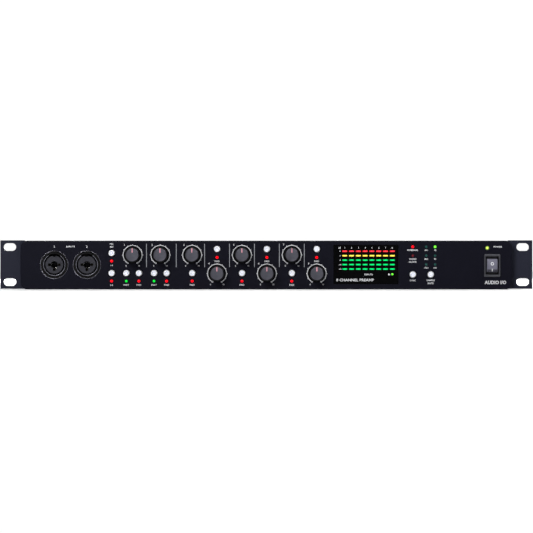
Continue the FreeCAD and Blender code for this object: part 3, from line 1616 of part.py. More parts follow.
def build():
    """Makes every sub-part."""
    front_fascia()
    bottom_tray()
    top_cover()
    rear_panel()
    rack_ear("rack_ear_left", -1)
    rack_ear("rack_ear_right", 1)
    case_screws()
    ear_screws()
    for channel, (x, z) in enumerate(knob_places(), 1):
        gain_knob(channel, x, z)
    for label, (x, z) in button_places().items():
        push_button(label, x, z)
    lens = (d.lens_radius, d.lens_proud, d.lens_reach)
    lens_group("red_led_lenses", red_lens_places(), *lens)
    lens_group("green_led_lenses", green_lens_places(), *lens)
    power_light = [(d.power_lens_x, d.power_lens_height)]
    power_lens = (d.power_lens_radius, d.power_lens_proud, d.power_lens_reach)
    lens_group("power_led_lens", power_light, *power_lens)
    display()
    power_switch()
    input_sockets()
    line_output_jacks()
    word_clock_socket()
    housings = [optical_output(n, x) for n, x in enumerate(optical_outputs(), 1)]
    group("optical_output_housings", housings)
    mains_inlet()
    main_board()
    control_board()
    gain_pots()
    button_switches()
    power_supply()
    board_standoffs()
    ribbon_cable()
    mains_leads()


def check_and_export():
    """Stops on any failed object or unsound shape, then writes one file for each sub-part."""
    doc.recompute()
    for thing in doc.Objects:
        if "Invalid" in thing.State or "Error" in thing.State:
            raise RuntimeError(f"{thing.Label} failed: {thing.State}")
    for part in nodes:
        if part.Shape.isNull() or not part.Shape.isValid():
            raise RuntimeError(f"{part.Label} has an unsound shape")
    os.makedirs("parts", exist_ok=True)
    for part in nodes:
        part.Shape.exportStep(f"parts/{part.Label}.step")
    print(f"{len(nodes)} sub-parts written")


build()
check_and_export()
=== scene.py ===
"""Looks of a one-unit rack-mount audio interface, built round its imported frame.

Lengths are metres. The front panel faces -Y, the rear panel faces +Y, and +Z is up.
"""

from __future__ import annotations

import json
import logging
import math
from collections.abc import Callable, Iterable, Sequence
from dataclasses import dataclass, field
from enum import Enum

import bmesh
import bpy
from mathutils import Euler, Matrix, Vector

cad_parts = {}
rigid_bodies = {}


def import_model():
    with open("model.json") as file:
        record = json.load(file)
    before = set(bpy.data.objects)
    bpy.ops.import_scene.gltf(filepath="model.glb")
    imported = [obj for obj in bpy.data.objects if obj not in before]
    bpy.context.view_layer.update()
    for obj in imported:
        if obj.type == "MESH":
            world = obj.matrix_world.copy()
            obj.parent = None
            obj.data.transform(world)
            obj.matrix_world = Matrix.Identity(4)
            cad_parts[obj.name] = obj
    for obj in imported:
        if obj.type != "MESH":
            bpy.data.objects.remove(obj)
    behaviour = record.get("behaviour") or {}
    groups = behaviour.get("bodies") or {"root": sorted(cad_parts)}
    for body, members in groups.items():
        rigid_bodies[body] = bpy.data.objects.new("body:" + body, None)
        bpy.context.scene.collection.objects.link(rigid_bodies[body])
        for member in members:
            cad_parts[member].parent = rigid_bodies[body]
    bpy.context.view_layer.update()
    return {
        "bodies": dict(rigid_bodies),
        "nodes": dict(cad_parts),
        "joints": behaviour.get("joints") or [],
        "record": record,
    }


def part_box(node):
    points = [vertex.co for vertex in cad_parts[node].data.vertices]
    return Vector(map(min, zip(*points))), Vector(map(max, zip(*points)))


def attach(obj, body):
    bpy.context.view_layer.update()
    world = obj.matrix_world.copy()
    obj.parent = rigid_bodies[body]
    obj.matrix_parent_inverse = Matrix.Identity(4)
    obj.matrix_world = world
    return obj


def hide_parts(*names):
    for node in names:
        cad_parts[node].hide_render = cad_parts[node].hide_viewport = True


LOG = logging.getLogger("audio_interface")
MM = 0.001
CHASSIS = "chassis"
GOLDEN_TURN = 2.39996

Colour = tuple[float, float, float]
Layer = tuple[float, float, float, float]


# ---------------------------------------------------------------- node trees


class Graph:
    """A shader or geometry node tree that is wired one call per node."""

    def __init__(self, tree: bpy.types.NodeTree) -> None:
        """Wraps a tree.

        Args:
            tree: The tree to add nodes to.
        """
        self.tree = tree

    def add(self, kind: str, inputs: dict | None = None, **settings: object) -> bpy.types.Node:
        """Adds one node.

        Args:
            kind: The node's type name.
            inputs: Socket name or number to a value, or to the socket that feeds it.
            **settings: Properties of the node itself.

        Returns:
            The new node.
        """
        node = self.tree.nodes.new(kind)
        for name, value in settings.items():
            setattr(node, name, value)
        for key, value in (inputs or {}).items():
            if isinstance(value, bpy.types.NodeSocket):
                self.tree.links.new(value, node.inputs[key])
            else:
                node.inputs[key].default_value = value
        return node

    def remap(self, value: bpy.types.NodeSocket, low: float, high: float) -> bpy.types.NodeSocket:
        """Spreads a 0 to 1 value over low to high."""
        return self.add("ShaderNodeMapRange", {"Value": value, "To Min": low, "To Max": high}).outputs[0]

    def blend(self, share: object, first: object, second: object) -> bpy.types.NodeSocket:
        """Mixes two colours by a share."""
        mix = self.add("ShaderNodeMix", {0: share, 6: first, 7: second}, data_type="RGBA")
        return mix.outputs[2]


class Relief(Enum):
    """The fine surface relief of a finish."""

    GRAIN = "grain"
    PEBBLE = "pebble"
    BRUSHED = "brushed"
    SPUN = "spun"


def opaque(colour: Colour, gain: float = 1.0) -> tuple[float, float, float, float]:
    """A colour with full alpha, brightened by gain."""
    return (*(min(1.0, part * gain) for part in colour), 1.0)


@dataclass(frozen=True)
class Finish:
    """A paint, plastic or metal with mottled colour, uneven gloss, fine relief and soft edges.

    Attributes:
        name: What the finish is called.
        colour: Its linear base colour.
        roughness: Its middle roughness.
        metallic: 1 for bare metal.
        specular: Specular level of paint or plastic.
        relief: The kind of fine relief.
        relief_size: Width of one grain, in metres.
        relief_depth: Strength of the relief, 0 to 1.
        mottle: Share by which the colour varies.
        smudge: How far the roughness varies.
        coat: Weight of a clear coat.
        worn: How strongly edges are rubbed lighter.
        soft_edge: Radius by which shading rounds hard edges, in metres.
    """

    name: str
    colour: Colour
    roughness: float
    metallic: float = 0.0
    specular: float = 0.5
    relief: Relief = Relief.GRAIN
    relief_size: float = 0.3 * MM
    relief_depth: float = 0.12
    mottle: float = 0.12
    smudge: float = 0.05
    coat: float = 0.0
    worn: float = 0.0
    soft_edge: float = 0.15 * MM

    def material(self) -> bpy.types.Material:
        """The finish's material, made the first time it is asked for."""
        made = bpy.data.materials.get(self.name)
        if made is None:
            made = bpy.data.materials.new(self.name)
            made.use_nodes = True
            made.node_tree.nodes.clear()
            self._wire(Graph(made.node_tree))
        return made

    def _wire(self, graph: Graph) -> None:
        """Builds the shader.

        Args:
            graph: The material's empty tree.
        """
        where = graph.add("ShaderNodeTexCoord").outputs["UV" if self.relief is Relief.SPUN else "Object"]
        broad = self._noise(graph, where, 22 * MM, 3.0)
        fine = self._noise(graph, where, 2.5 * MM, 2.0)
        patches = graph.blend(0.4, broad, fine)
        colour = graph.blend(
            patches, opaque(self.colour, 1 - self.mottle), opaque(self.colour, 1 + self.mottle)
        )
        rounded = graph.add("ShaderNodeBevel", {"Radius": self.soft_edge}, samples=4).outputs[0]
        if self.worn:
            colour = self._wear(graph, colour, rounded, fine)
        bump = graph.add(
            "ShaderNodeBump",
            {
                "Strength": self.relief_depth,
                "Distance": self.relief_size * 0.25,
                "Height": self._relief(graph, where),
                "Normal": rounded,
            },
        )
        shader = graph.add(
            "ShaderNodeBsdfPrincipled",
            {
                "Base Color": colour,
                "Metallic": self.metallic,
                "Roughness": graph.remap(
                    broad, self.roughness - self.smudge, self.roughness + self.smudge
                ),
                "Specular IOR Level": self.specular,
                "Coat Weight": self.coat,
                "Coat Roughness": 0.08,
                "Normal": bump.outputs[0],
            },
        )
        graph.add("ShaderNodeOutputMaterial", {"Surface": shader.outputs[0]})

    def _noise(
        self, graph: Graph, where: bpy.types.NodeSocket, grain: float, detail: float
    ) -> bpy.types.NodeSocket:
        """Noise whose patches are about grain across.

        Args:
            graph: The tree.
            where: The coordinates to read.
            grain: Patch size in metres, or in parts of the map where the finish is spun.
            detail: Octaves.

        Returns:
            The noise value.
        """
        scale = 6.0 if self.relief is Relief.SPUN else 1.0 / grain
        found = graph.add("ShaderNodeTexNoise", {"Vector": where, "Scale": scale, "Detail": detail})
        return found.outputs[0]

    def _wear(
        self,
        graph: Graph,
        colour: bpy.types.NodeSocket,
        rounded: bpy.types.NodeSocket,
        patches: bpy.types.NodeSocket,
    ) -> bpy.types.NodeSocket:
        """Rubs the colour lighter where an edge is rounded.

        Args:
            graph: The tree.
            colour: The colour so far.
            rounded: The normal with its edges rounded.
            patches: Noise that breaks the rubbing up.

        Returns:
            The worn colour.
        """
        flat = graph.add("ShaderNodeNewGeometry").outputs["Normal"]
        match = graph.add("ShaderNodeVectorMath", {0: rounded, 1: flat}, operation="DOT_PRODUCT")
        edge = graph.add(
            "ShaderNodeMapRange",
            {"Value": match.outputs["Value"], "From Min": 0.995, "From Max": 0.90, "To Max": self.worn},
        ).outputs[0]
        broken = graph.add("ShaderNodeMath", {0: edge, 1: patches}, operation="MULTIPLY").outputs[0]
        return graph.blend(broken, colour, opaque(self.colour, 5.0))

    def _relief(self, graph: Graph, where: bpy.types.NodeSocket) -> bpy.types.NodeSocket:
        """The height that the bump reads.

        Args:
            graph: The tree.
            where: The coordinates to read.

        Returns:
            The height.
        """
        scale = 1.0 / self.relief_size
        if self.relief is Relief.PEBBLE:
            cells = graph.add("ShaderNodeTexVoronoi", {"Vector": where, "Scale": scale * 0.6})
            return graph.remap(cells.outputs["Distance"], 1.0, 0.0)
        if self.relief is Relief.BRUSHED:
            stretched = graph.add("ShaderNodeMapping", {"Vector": where, "Scale": (0.02, 1.0, 1.0)})
            lines = graph.add("ShaderNodeTexNoise", {"Vector": stretched.outputs[0], "Scale": scale})
            return lines.outputs[0]
        if self.relief is Relief.SPUN:
            rings = graph.add("ShaderNodeMapping", {"Vector": where, "Scale": (1.5, 70.0, 1.0)})
            lines = graph.add("ShaderNodeTexNoise", {"Vector": rings.outputs[0], "Scale": 1.0})
            return lines.outputs[0]
        grain = graph.add("ShaderNodeTexNoise", {"Vector": where, "Scale": scale, "Detail": 4.0})
        return grain.outputs[0]


@dataclass(frozen=True)
class LightLens:
    """A tinted lens, bright in the middle where it is lit.

    Attributes:
        name: What the lens is called.
        colour: Its linear colour at the edge.
        core: Its linear colour in the middle.
        glow: Emission strength, 0 where it is off.
    """

    name: str
    colour: Colour
    core: Colour
    glow: float = 0.0

    def material(self) -> bpy.types.Material:
        """The lens material, made the first time it is asked for."""
        made = bpy.data.materials.get(self.name)
        if made is not None:
            return made
        made = bpy.data.materials.new(self.name)
        made.use_nodes = True
        made.node_tree.nodes.clear()
        graph = Graph(made.node_tree)
        place = graph.add("ShaderNodeTexCoord").outputs["UV"]
        off_centre = graph.add("ShaderNodeVectorMath", {0: place, 1: (0.5, 0.5, 0.0)}, operation="DISTANCE")
        ripple = graph.add("ShaderNodeTexNoise", {"Vector": place, "Scale": 9.0, "Detail": 2.0}).outputs[0]
        edge = graph.add(
            "ShaderNodeMapRange", {"Value": off_centre.outputs["Value"], "From Min": 0.05, "From Max": 0.5}
        ).outputs[0]
        share = graph.blend(0.12, edge, ripple)
        colour = graph.blend(share, opaque(self.core), opaque(self.colour))
        bump = graph.add("ShaderNodeBump", {"Strength": 0.05, "Distance": 0.02 * MM, "Height": ripple})
        shader = graph.add(
            "ShaderNodeBsdfPrincipled",
            {
                "Base Color": colour,
                "Roughness": graph.remap(ripple, 0.18, 0.30),
                "Specular IOR Level": 0.15,
                "Emission Color": colour,
                "Emission Strength": self.glow,
                "Normal": bump.outputs[0],
            },
        )
        graph.add("ShaderNodeOutputMaterial", {"Surface": shader.outputs[0]})
        return made


@dataclass(frozen=True)
class Laminate:
    """Circuit board: solder mask over copper tracks that run square to the board's edges."""

    name: str
    mask: Colour = (0.008, 0.060, 0.026)
    track: Colour = (0.030, 0.130, 0.055)

    def material(self) -> bpy.types.Material:
        """The board's material, made the first time it is asked for."""
        made = bpy.data.materials.get(self.name)
        if made is not None:
            return made
        made = bpy.data.materials.new(self.name)
        made.use_nodes = True
        made.node_tree.nodes.clear()
        graph = Graph(made.node_tree)
        place = graph.add("ShaderNodeTexCoord").outputs["Object"]
        cells = graph.add(
            "ShaderNodeTexVoronoi",
            {"Vector": place, "Scale": 260.0},
            distance="CHEBYCHEV",
            feature="F1",
        )
        tracks = graph.add(
            "ShaderNodeMapRange", {"Value": cells.outputs["Distance"], "From Min": 0.30, "From Max": 0.36}
        ).outputs[0]
        colour = graph.blend(tracks, opaque(self.mask), opaque(self.track))
        bump = graph.add("ShaderNodeBump", {"Strength": 0.3, "Distance": 0.03 * MM, "Height": tracks})
        shader = graph.add(
            "ShaderNodeBsdfPrincipled",
            {"Base Color": colour, "Roughness": graph.remap(tracks, 0.35, 0.5), "Normal": bump.outputs[0]},
        )
        graph.add("ShaderNodeOutputMaterial", {"Surface": shader.outputs[0]})
        return made


@dataclass(frozen=True)
class Finishes:
    """Every finish of the unit."""

    fascia: Finish = Finish(
        "fascia_satin_paint", (0.0034, 0.0034, 0.0085), 0.46, specular=0.08, relief_size=0.25 * MM,
        relief_depth=0.10, mottle=0.10, worn=0.05, soft_edge=0.2 * MM,
    )
    ears: Finish = Finish(
        "ear_satin_paint", (0.0140, 0.0152, 0.0270), 0.50, specular=0.12, relief_size=0.3 * MM,
        relief_depth=0.15, worn=0.10, soft_edge=0.25 * MM,
    )
    case: Finish = Finish(
        "black_powder_coat", (0.0110, 0.0110, 0.0125), 0.55, specular=0.45, relief=Relief.PEBBLE,
        relief_size=0.45 * MM, relief_depth=0.35, mottle=0.15, worn=0.12, soft_edge=0.3 * MM,
    )
    cut_aluminium: Finish = Finish(
        "diamond_cut_aluminium", (0.72, 0.71, 0.82), 0.40, metallic=1.0, relief_size=0.2 * MM,
        relief_depth=0.02, mottle=0.05, smudge=0.03, soft_edge=0.05 * MM,
    )
    screws: Finish = Finish(
        "black_oxide_steel", (0.035, 0.035, 0.040), 0.34, metallic=0.8, relief_size=0.2 * MM, worn=0.3,
    )
    skirt: Finish = Finish(
        "knob_skirt_rubber", (0.0014, 0.0014, 0.0018), 0.60, specular=0.06, relief_size=0.2 * MM,
        relief_depth=0.2,
    )
    cap: Finish = Finish(
        "knob_cap_spun_grey", (0.100, 0.100, 0.122), 0.32, metallic=0.85, relief=Relief.SPUN,
        relief_depth=0.35, mottle=0.20, smudge=0.06,
    )
    pointer: Finish = Finish(
        "pointer_inlay", (0.86, 0.36, 0.43), 0.40, relief_size=0.15 * MM, mottle=0.08,
    )
    white_plastic: Finish = Finish(
        "button_gloss_white", (0.93, 0.94, 0.96), 0.22, relief_size=0.5 * MM, relief_depth=0.04,
        mottle=0.03, coat=0.4, soft_edge=0.1 * MM,
    )
    # Blue-grey for the ring in each button's dish groove: painted shade of the groove.
    dish: Finish = Finish(
        "button_dish_painted_shade", (0.42, 0.50, 0.86), 0.30, relief_size=0.3 * MM, mottle=0.05, coat=0.3,
    )
    ink: Finish = Finish(
        "white_screen_ink", (0.74, 0.75, 0.77), 0.50, relief_size=0.12 * MM, relief_depth=0.15,
        mottle=0.07, soft_edge=0.01 * MM,
    )
    grey_ink: Finish = Finish(
        "grey_screen_ink", (0.29, 0.30, 0.33), 0.50, relief_size=0.12 * MM, relief_depth=0.15,
        mottle=0.10, soft_edge=0.01 * MM,
    )
    window: Finish = Finish(
        "display_black_acrylic", (0.0006, 0.0006, 0.0008), 0.14, specular=0.05, relief_size=1.5 * MM,
        relief_depth=0.02, mottle=0.2, smudge=0.03,
    )
    switch_frame: Finish = Finish(
        "switch_frame_plastic", (0.040, 0.041, 0.050), 0.42, relief_size=0.25 * MM, relief_depth=0.2,
    )
    rocker: Finish = Finish(
        "rocker_grey_plastic", (0.150, 0.148, 0.195), 0.42, specular=0.25, relief_size=0.3 * MM,
        relief_depth=0.08,
    )
    # Near-black for the rocker's grip ribs, far darker than the rocker: real ribs, coloured as painted shade over the
    # rocker's lower end.
    grip: Finish = Finish(
        "rocker_ribs_painted_shade", (0.016, 0.016, 0.022), 0.5, specular=0.2, relief_size=0.2 * MM,
        soft_edge=0.05 * MM,
    )
    nose: Finish = Finish(
        "socket_nose_black", (0.0016, 0.0016, 0.0020), 0.46, specular=0.08, relief_size=0.25 * MM,
        relief_depth=0.1,
    )
    # Lighter grey metal for a thin ring at each socket nose's mouth: a painted highlight along the lip.
    nose_edge: Finish = Finish(
        "socket_nose_painted_highlight", (0.24, 0.24, 0.29), 0.35, metallic=0.3, relief_size=0.25 * MM,
        relief_depth=0.03, soft_edge=0.03 * MM,
    )
    shell: Finish = Finish(
        "socket_shell_plastic", (0.0030, 0.0030, 0.0036), 0.50, specular=0.15, relief_size=0.3 * MM,
        relief_depth=0.15,
    )
    insert: Finish = Finish(
        "socket_insert_grey", (0.026, 0.026, 0.034), 0.48, specular=0.2, relief_size=0.25 * MM,
        relief_depth=0.15,
    )
    black_plastic: Finish = Finish(
        "moulded_black_plastic", (0.010, 0.010, 0.011), 0.42, relief_size=0.35 * MM, relief_depth=0.2,
    )
    nickel: Finish = Finish(
        "nickel_plate", (0.60, 0.58, 0.54), 0.20, metallic=1.0, relief_size=0.3 * MM, relief_depth=0.06,
        mottle=0.05,
    )
    # Near-black metal for the contacts, far darker than plated contact metal; they sit deep in the insert's holes.
    gold: Finish = Finish(
        "near_black_contact_metal", (0.020, 0.017, 0.013), 0.50, metallic=1.0, relief_size=0.2 * MM,
        relief_depth=0.06, mottle=0.06,
    )
    brass: Finish = Finish(
        "turned_brass", (0.62, 0.46, 0.18), 0.30, metallic=1.0, relief=Relief.BRUSHED, relief_size=0.3 * MM,
    )
    steel: Finish = Finish(
        "plated_steel", (0.50, 0.50, 0.51), 0.32, metallic=1.0, relief=Relief.BRUSHED,
        relief_size=0.25 * MM, relief_depth=0.1,
    )
    iron: Finish = Finish("varnished_iron", (0.030, 0.026, 0.022), 0.40, relief=Relief.BRUSHED)
    ribbon: Finish = Finish("ribbon_grey_vinyl", (0.36, 0.36, 0.38), 0.55, relief=Relief.BRUSHED)
    wire: Finish = Finish("wire_black_vinyl", (0.010, 0.010, 0.010), 0.45)
    board: Laminate = Laminate("board_green_laminate")
    red_on: LightLens = LightLens("red_lens_lit", (0.85, 0.0, 0.004), (1.0, 0.0, 0.006), 1.1)
    red_off: LightLens = LightLens("red_lens_dark", (0.10, 0.004, 0.010), (0.16, 0.006, 0.014))
    green_on: LightLens = LightLens("green_lens_lit", (0.0, 0.32, 0.02), (0.0, 0.80, 0.04), 0.9)
    lime_on: LightLens = LightLens("lime_lens_lit", (0.06, 0.62, 0.02), (0.22, 0.95, 0.05), 1.1)
    teal_off: LightLens = LightLens("teal_lens_dark", (0.010, 0.050, 0.045), (0.016, 0.085, 0.072))
    power_on: LightLens = LightLens("power_lens_lit", (0.01, 0.14, 0.004), (0.80, 0.95, 0.14), 0.9)
    bar_red: LightLens = LightLens("meter_bar_red", (0.62, 0.012, 0.022), (0.90, 0.045, 0.06), 1.0)
    bar_yellow: LightLens = LightLens("meter_bar_yellow", (0.66, 0.46, 0.035), (0.94, 0.80, 0.12), 1.0)
    bar_green: LightLens = LightLens("meter_bar_green", (0.0, 0.40, 0.08), (0.0, 0.76, 0.17), 0.9)


FINISH = Finishes()


# ---------------------------------------------------------------- shapes


@dataclass(frozen=True)
class Box:
    """A box in the row frame."""

    low: Vector
    high: Vector

    @property
    def centre(self) -> Vector:
        """The box's middle."""
        return (self.low + self.high) / 2

    @property
    def size(self) -> Vector:
        """The box's extent."""
        return self.high - self.low


def node_box(node: str) -> Box:
    """The box of a CAD node."""
    return Box(*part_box(node))


class Facing(Enum):
    """Which way the outer side of a piece points, as the turn that takes local +Z there."""

    FRONT = (math.pi / 2, 0.0, 0.0)
    REAR = (math.pi / 2, 0.0, math.pi)
    UP = (0.0, 0.0, 0.0)
    LEFT = (0.0, -math.pi / 2, 0.0)
    RIGHT = (0.0, math.pi / 2, 0.0)

    def matrix(self, seat: Vector, spin: float = 0.0) -> Matrix:
        """The place of a piece.

        Args:
            seat: Where the piece's local origin goes.
            spin: A turn about the piece's own axis, in radians.

        Returns:
            The matrix that puts the piece there.
        """
        turn = Euler(self.value).to_matrix().to_4x4()
        return Matrix.Translation(seat) @ turn @ Matrix.Rotation(spin, 4, "Z")


def islands(node: bpy.types.Object) -> list[Box]:
    """Finds the separate solids of a CAD node.

    Args:
        node: The CAD node's object.

    Returns:
        One box per solid, ordered by X, then Z.
    """
    mesh = bmesh.new()
    mesh.from_mesh(node.data)
    bmesh.ops.remove_doubles(mesh, verts=mesh.verts, dist=0.0005 * MM)
    boxes, seen = [], set()
    for start in mesh.verts:
        if start in seen:
            continue
        seen.add(start)
        stack, points = [start], []
        while stack:
            vertex = stack.pop()
            points.append(vertex.co)
            for edge in vertex.link_edges:
                other = edge.other_vert(vertex)
                if other not in seen:
                    seen.add(other)
                    stack.append(other)
        low = Vector(min(p[i] for p in points) for i in range(3))
        high = Vector(max(p[i] for p in points) for i in range(3))
        boxes.append(Box(low, high))
    mesh.free()
    return sorted(boxes, key=lambda box: (round(box.centre.x, 4), round(box.centre.z, 4)))


def arc(centre: tuple[float, float], radius: float, start: float, end: float, steps: int = 5) -> list:
    """Points of an arc.

    Args:
        centre: The arc's centre.
        radius: Its radius.
        start: First angle, in degrees.
        end: Last angle, in degrees.
        steps: Number of spans.

    Returns:
        The points, both ends included.
    """
    angles = [math.radians(start + (end - start) * n / steps) for n in range(steps + 1)]
    return [(centre[0] + radius * math.cos(a), centre[1] + radius * math.sin(a)) for a in angles]


def ring_loop(reach: Callable[[float], float] | float, height: float, steps: int) -> list[Vector]:
    """A closed loop round the local Z axis.

    Args:
        reach: The radius, or a function from angle to radius.
        height: The loop's height.
        steps: Number of points.

    Returns:
        The loop's points.
    """
    points = []
    for n in range(steps):
        angle = 2 * math.pi * n / steps
        radius = reach(angle) if callable(reach) else reach
        points.append(Vector((radius * math.cos(angle), radius * math.sin(angle), height)))
    return points


def rounded_loop(layer: Layer, steps: int = 4) -> list[Vector]:
    """A rectangle with round corners, about the local Z axis.

    Args:
        layer: Width, height, corner radius and place along Z.
        steps: Spans per corner.

    Returns:
        The loop's points.
    """
    width, height, corner, level = layer
    points = []
    for quarter, (sx, sy) in enumerate(((1, 1), (-1, 1), (-1, -1), (1, -1))):
        centre = (sx * (width / 2 - corner), sy * (height / 2 - corner))
        span = arc(centre, corner, 90 * quarter, 90 * quarter + 90, steps)
        points += [Vector((x, y, level)) for x, y in span]
    return points


def loft(loops: Sequence[Sequence[Vector]], closed: bool = False, open_seam: bool = False) -> bmesh.types.BMesh:
    """Joins loops of equal length into a closed solid.

    Args:
        loops: The loops, from the inside of the piece outwards.
        closed: True where the last loop joins the first, as in a ring.
        open_seam: True where each loop is an open line, so that both of its ends are capped.

    Returns:
        The mesh, with a map that runs round and along, and faces that point outwards.
    """
    mesh = bmesh.new()
    layer = mesh.loops.layers.uv.new("UVMap")
    rows = [[mesh.verts.new(point) for point in loop] for loop in loops]
    count = len(rows[0])
    lengths = [0.0]
    for before, after in zip(loops, loops[1:]):
        lengths.append(lengths[-1] + (after[0] - before[0]).length)
    total = max(lengths[-1], 1e-9)
    pairs = list(zip(range(len(rows) - 1), range(1, len(rows))))
    if closed:
        pairs.append((len(rows) - 1, 0))
    for low, high in pairs:
        for n in range(count - 1 if open_seam else count):
            following = (n + 1) % count
            corners = (rows[low][n], rows[low][following], rows[high][following], rows[high][n])
            face = mesh.faces.new(corners)
            places = ((n, low), (n + 1, low), (n + 1, high), (n, high))
            for corner, (along, row) in zip(face.loops, places):
                corner[layer].uv = (along / count, lengths[row] / total)
    if open_seam:
        mesh.faces.new([row[0] for row in rows])
        mesh.faces.new([row[-1] for row in reversed(rows)])
    elif not closed:
        mesh.faces.new(list(reversed(rows[0])))
        mesh.faces.new(rows[-1])
    bmesh.ops.remove_doubles(mesh, verts=mesh.verts, dist=0.0005 * MM)
    bmesh.ops.recalc_face_normals(mesh, faces=mesh.faces)
    return mesh


def lathe(
    profile: Sequence[tuple[float, float]], steps: int = 64, closed: bool = False
) -> bmesh.types.BMesh:
    """Turns a profile about the local Z axis.

    Args:
        profile: Radius and height of each point.
        steps: Spans round the axis.
        closed: True where the profile is a closed line, as of a ring.

    Returns:
        The mesh.
    """
    return loft([ring_loop(max(radius, 0.0), height, steps) for radius, height in profile], closed)


def part_lathe(
    profile: Sequence[tuple[float, float]], start: float, end: float, steps: int
) -> bmesh.types.BMesh:
    """Turns a closed profile through part of a turn.

    Args:
        profile: Radius and height of each point, back to the first.
        start: First angle, in degrees.
        end: Last angle, in degrees.
        steps: Spans between them.

    Returns:
        The mesh, capped at both ends.
    """
    loops = []
    for radius, height in profile:
        points = arc((0.0, 0.0), radius, start, end, steps)
        loops.append([Vector((x, y, height)) for x, y in points])
    return loft(loops, closed=True, open_seam=True)


def slab(layers: Sequence[Layer], closed: bool = False) -> bmesh.types.BMesh:
    """A rounded block, or a frame, from its layers, mapped flat over its face.

    Args:
        layers: Width, height, corner radius and place along Z of each layer.
        closed: True for a frame, whose last layer joins the first.

    Returns:
        The mesh.
    """
    mesh = loft([rounded_loop(layer) for layer in layers], closed)
    width = max(layer[0] for layer in layers)
    height = max(layer[1] for layer in layers)
    uv = mesh.loops.layers.uv.active
    for face in mesh.faces:
        for corner in face.loops:
            corner[uv].uv = (corner.vert.co.x / width + 0.5, corner.vert.co.y / height + 0.5)
    return mesh


def map_over_face(mesh: bmesh.types.BMesh, radius: float) -> bmesh.types.BMesh:
    """Maps a turned piece flat over its face, so that a lens is bright in its middle.

    Args:
        mesh: The piece.
        radius: Its radius.

    Returns:
        The same mesh.
    """
    uv = mesh.loops.layers.uv.active
    for face in mesh.faces:
        for corner in face.loops:
            place = corner.vert.co / (2 * radius)
            corner[uv].uv = (place.x + 0.5, place.y + 0.5)
    return mesh


def to_object(
    name: str, mesh: bmesh.types.BMesh, place: Matrix | None = None, crease: float = 32.0
) -> bpy.types.Object:
    """Turns a bmesh into an object whose place is in its mesh.

    Args:
        name: The object's name.
        mesh: The mesh, which is freed.
        place: Where it goes, or None to leave it as it is.
        crease: Angle in degrees past which an edge stays sharp.

    Returns:
        The object, linked to the scene.
    """
    if place is not None:
        mesh.transform(place)
    data = bpy.data.meshes.new(name)
    mesh.to_mesh(data)
    mesh.free()
    data.polygons.foreach_set("use_smooth", [True] * len(data.polygons))
    data.set_sharp_from_angle(angle=math.radians(crease))
    made = bpy.data.objects.new(name, data)
    bpy.context.scene.collection.objects.link(made)
    return made


def join(name: str, parts: Iterable[bpy.types.Object]) -> bpy.types.Object:
    """Joins objects into one mesh object.

    Args:
        name: The new object's name.
        parts: The objects, which are removed.

    Returns:
        The joined object.
    """
    merged = bmesh.new()
    for part in parts:
        merged.from_mesh(part.data)
        bpy.data.objects.remove(part)
    return to_object(name, merged)


def plain_mesh(source: bpy.types.Object, name: str) -> bpy.types.Object:
    """Replaces an object by the plain mesh that its modifiers make.

    Args:
        source: The object with modifiers, which is removed.
        name: The new object's name.

    Returns:
        The plain object.
    """
    shown = source.evaluated_get(bpy.context.evaluated_depsgraph_get())
    data = bpy.data.meshes.new_from_object(shown)
    source.modifiers.clear()
    bpy.data.objects.remove(source)
    data.name = name
    made = bpy.data.objects.new(name, data)
    bpy.context.scene.collection.objects.link(made)
    return made


# ---------------------------------------------------------------- geometry nodes


class Recipe:
    """A Geometry Nodes tree with named inputs, ending in Realize Instances and Set Material."""

    def __init__(self, name: str, inputs: dict[str, str]) -> None:
        """Starts the tree.

        Args:
            name: The tree's name.
            inputs: Input name to socket type.
        """
        tree = bpy.data.node_groups.new(name, "GeometryNodeTree")
        tree.is_modifier = True
        tree.interface.new_socket("Geometry", in_out="INPUT", socket_type="NodeSocketGeometry")
        tree.interface.new_socket("Geometry", in_out="OUTPUT", socket_type="NodeSocketGeometry")
        self.keys = {
            label: tree.interface.new_socket(label, in_out="INPUT", socket_type=kind).identifier
            for label, kind in (inputs | {"Finish": "NodeSocketMaterial"}).items()
        }
        self.graph = Graph(tree)
        self.given = self.graph.add("NodeGroupInput").outputs

    def end(self, geometry: bpy.types.NodeSocket) -> None:
        """Closes the tree.

        Args:
            geometry: What the tree has made.
        """
        real = self.graph.add("GeometryNodeRealizeInstances", {"Geometry": geometry})
        dressed = self.graph.add(
            "GeometryNodeSetMaterial", {"Geometry": real.outputs[0], "Material": self.given["Finish"]}
        )
        self.graph.add("NodeGroupOutput", {"Geometry": dressed.outputs[0]})

    def run(
        self, name: str, points: Sequence[Matrix], values: dict[str, object], finish: Finish | LightLens
    ) -> bpy.types.Object:
        """Runs the tree on points and makes the result a plain mesh.

        Args:
            name: The new piece's name.
            points: A place for each copy.
            values: Input name to value.
            finish: What the piece is made of.

        Returns:
            The plain piece.
        """
        data = bpy.data.meshes.new(name + "_points")
        data.from_pydata([place.translation for place in points], [], [])
        turns = data.attributes.new("turn", "FLOAT_VECTOR", "POINT")
        turns.data.foreach_set("vector", [part for place in points for part in place.to_euler()])
        carrier = bpy.data.objects.new(name + "_points", data)
        bpy.context.scene.collection.objects.link(carrier)
        modifier = carrier.modifiers.new("copies", "NODES")
        modifier.node_group = self.graph.tree
        for label, value in (values | {"Finish": finish.material()}).items():
            modifier[self.keys[label]] = value
        return plain_mesh(carrier, name)


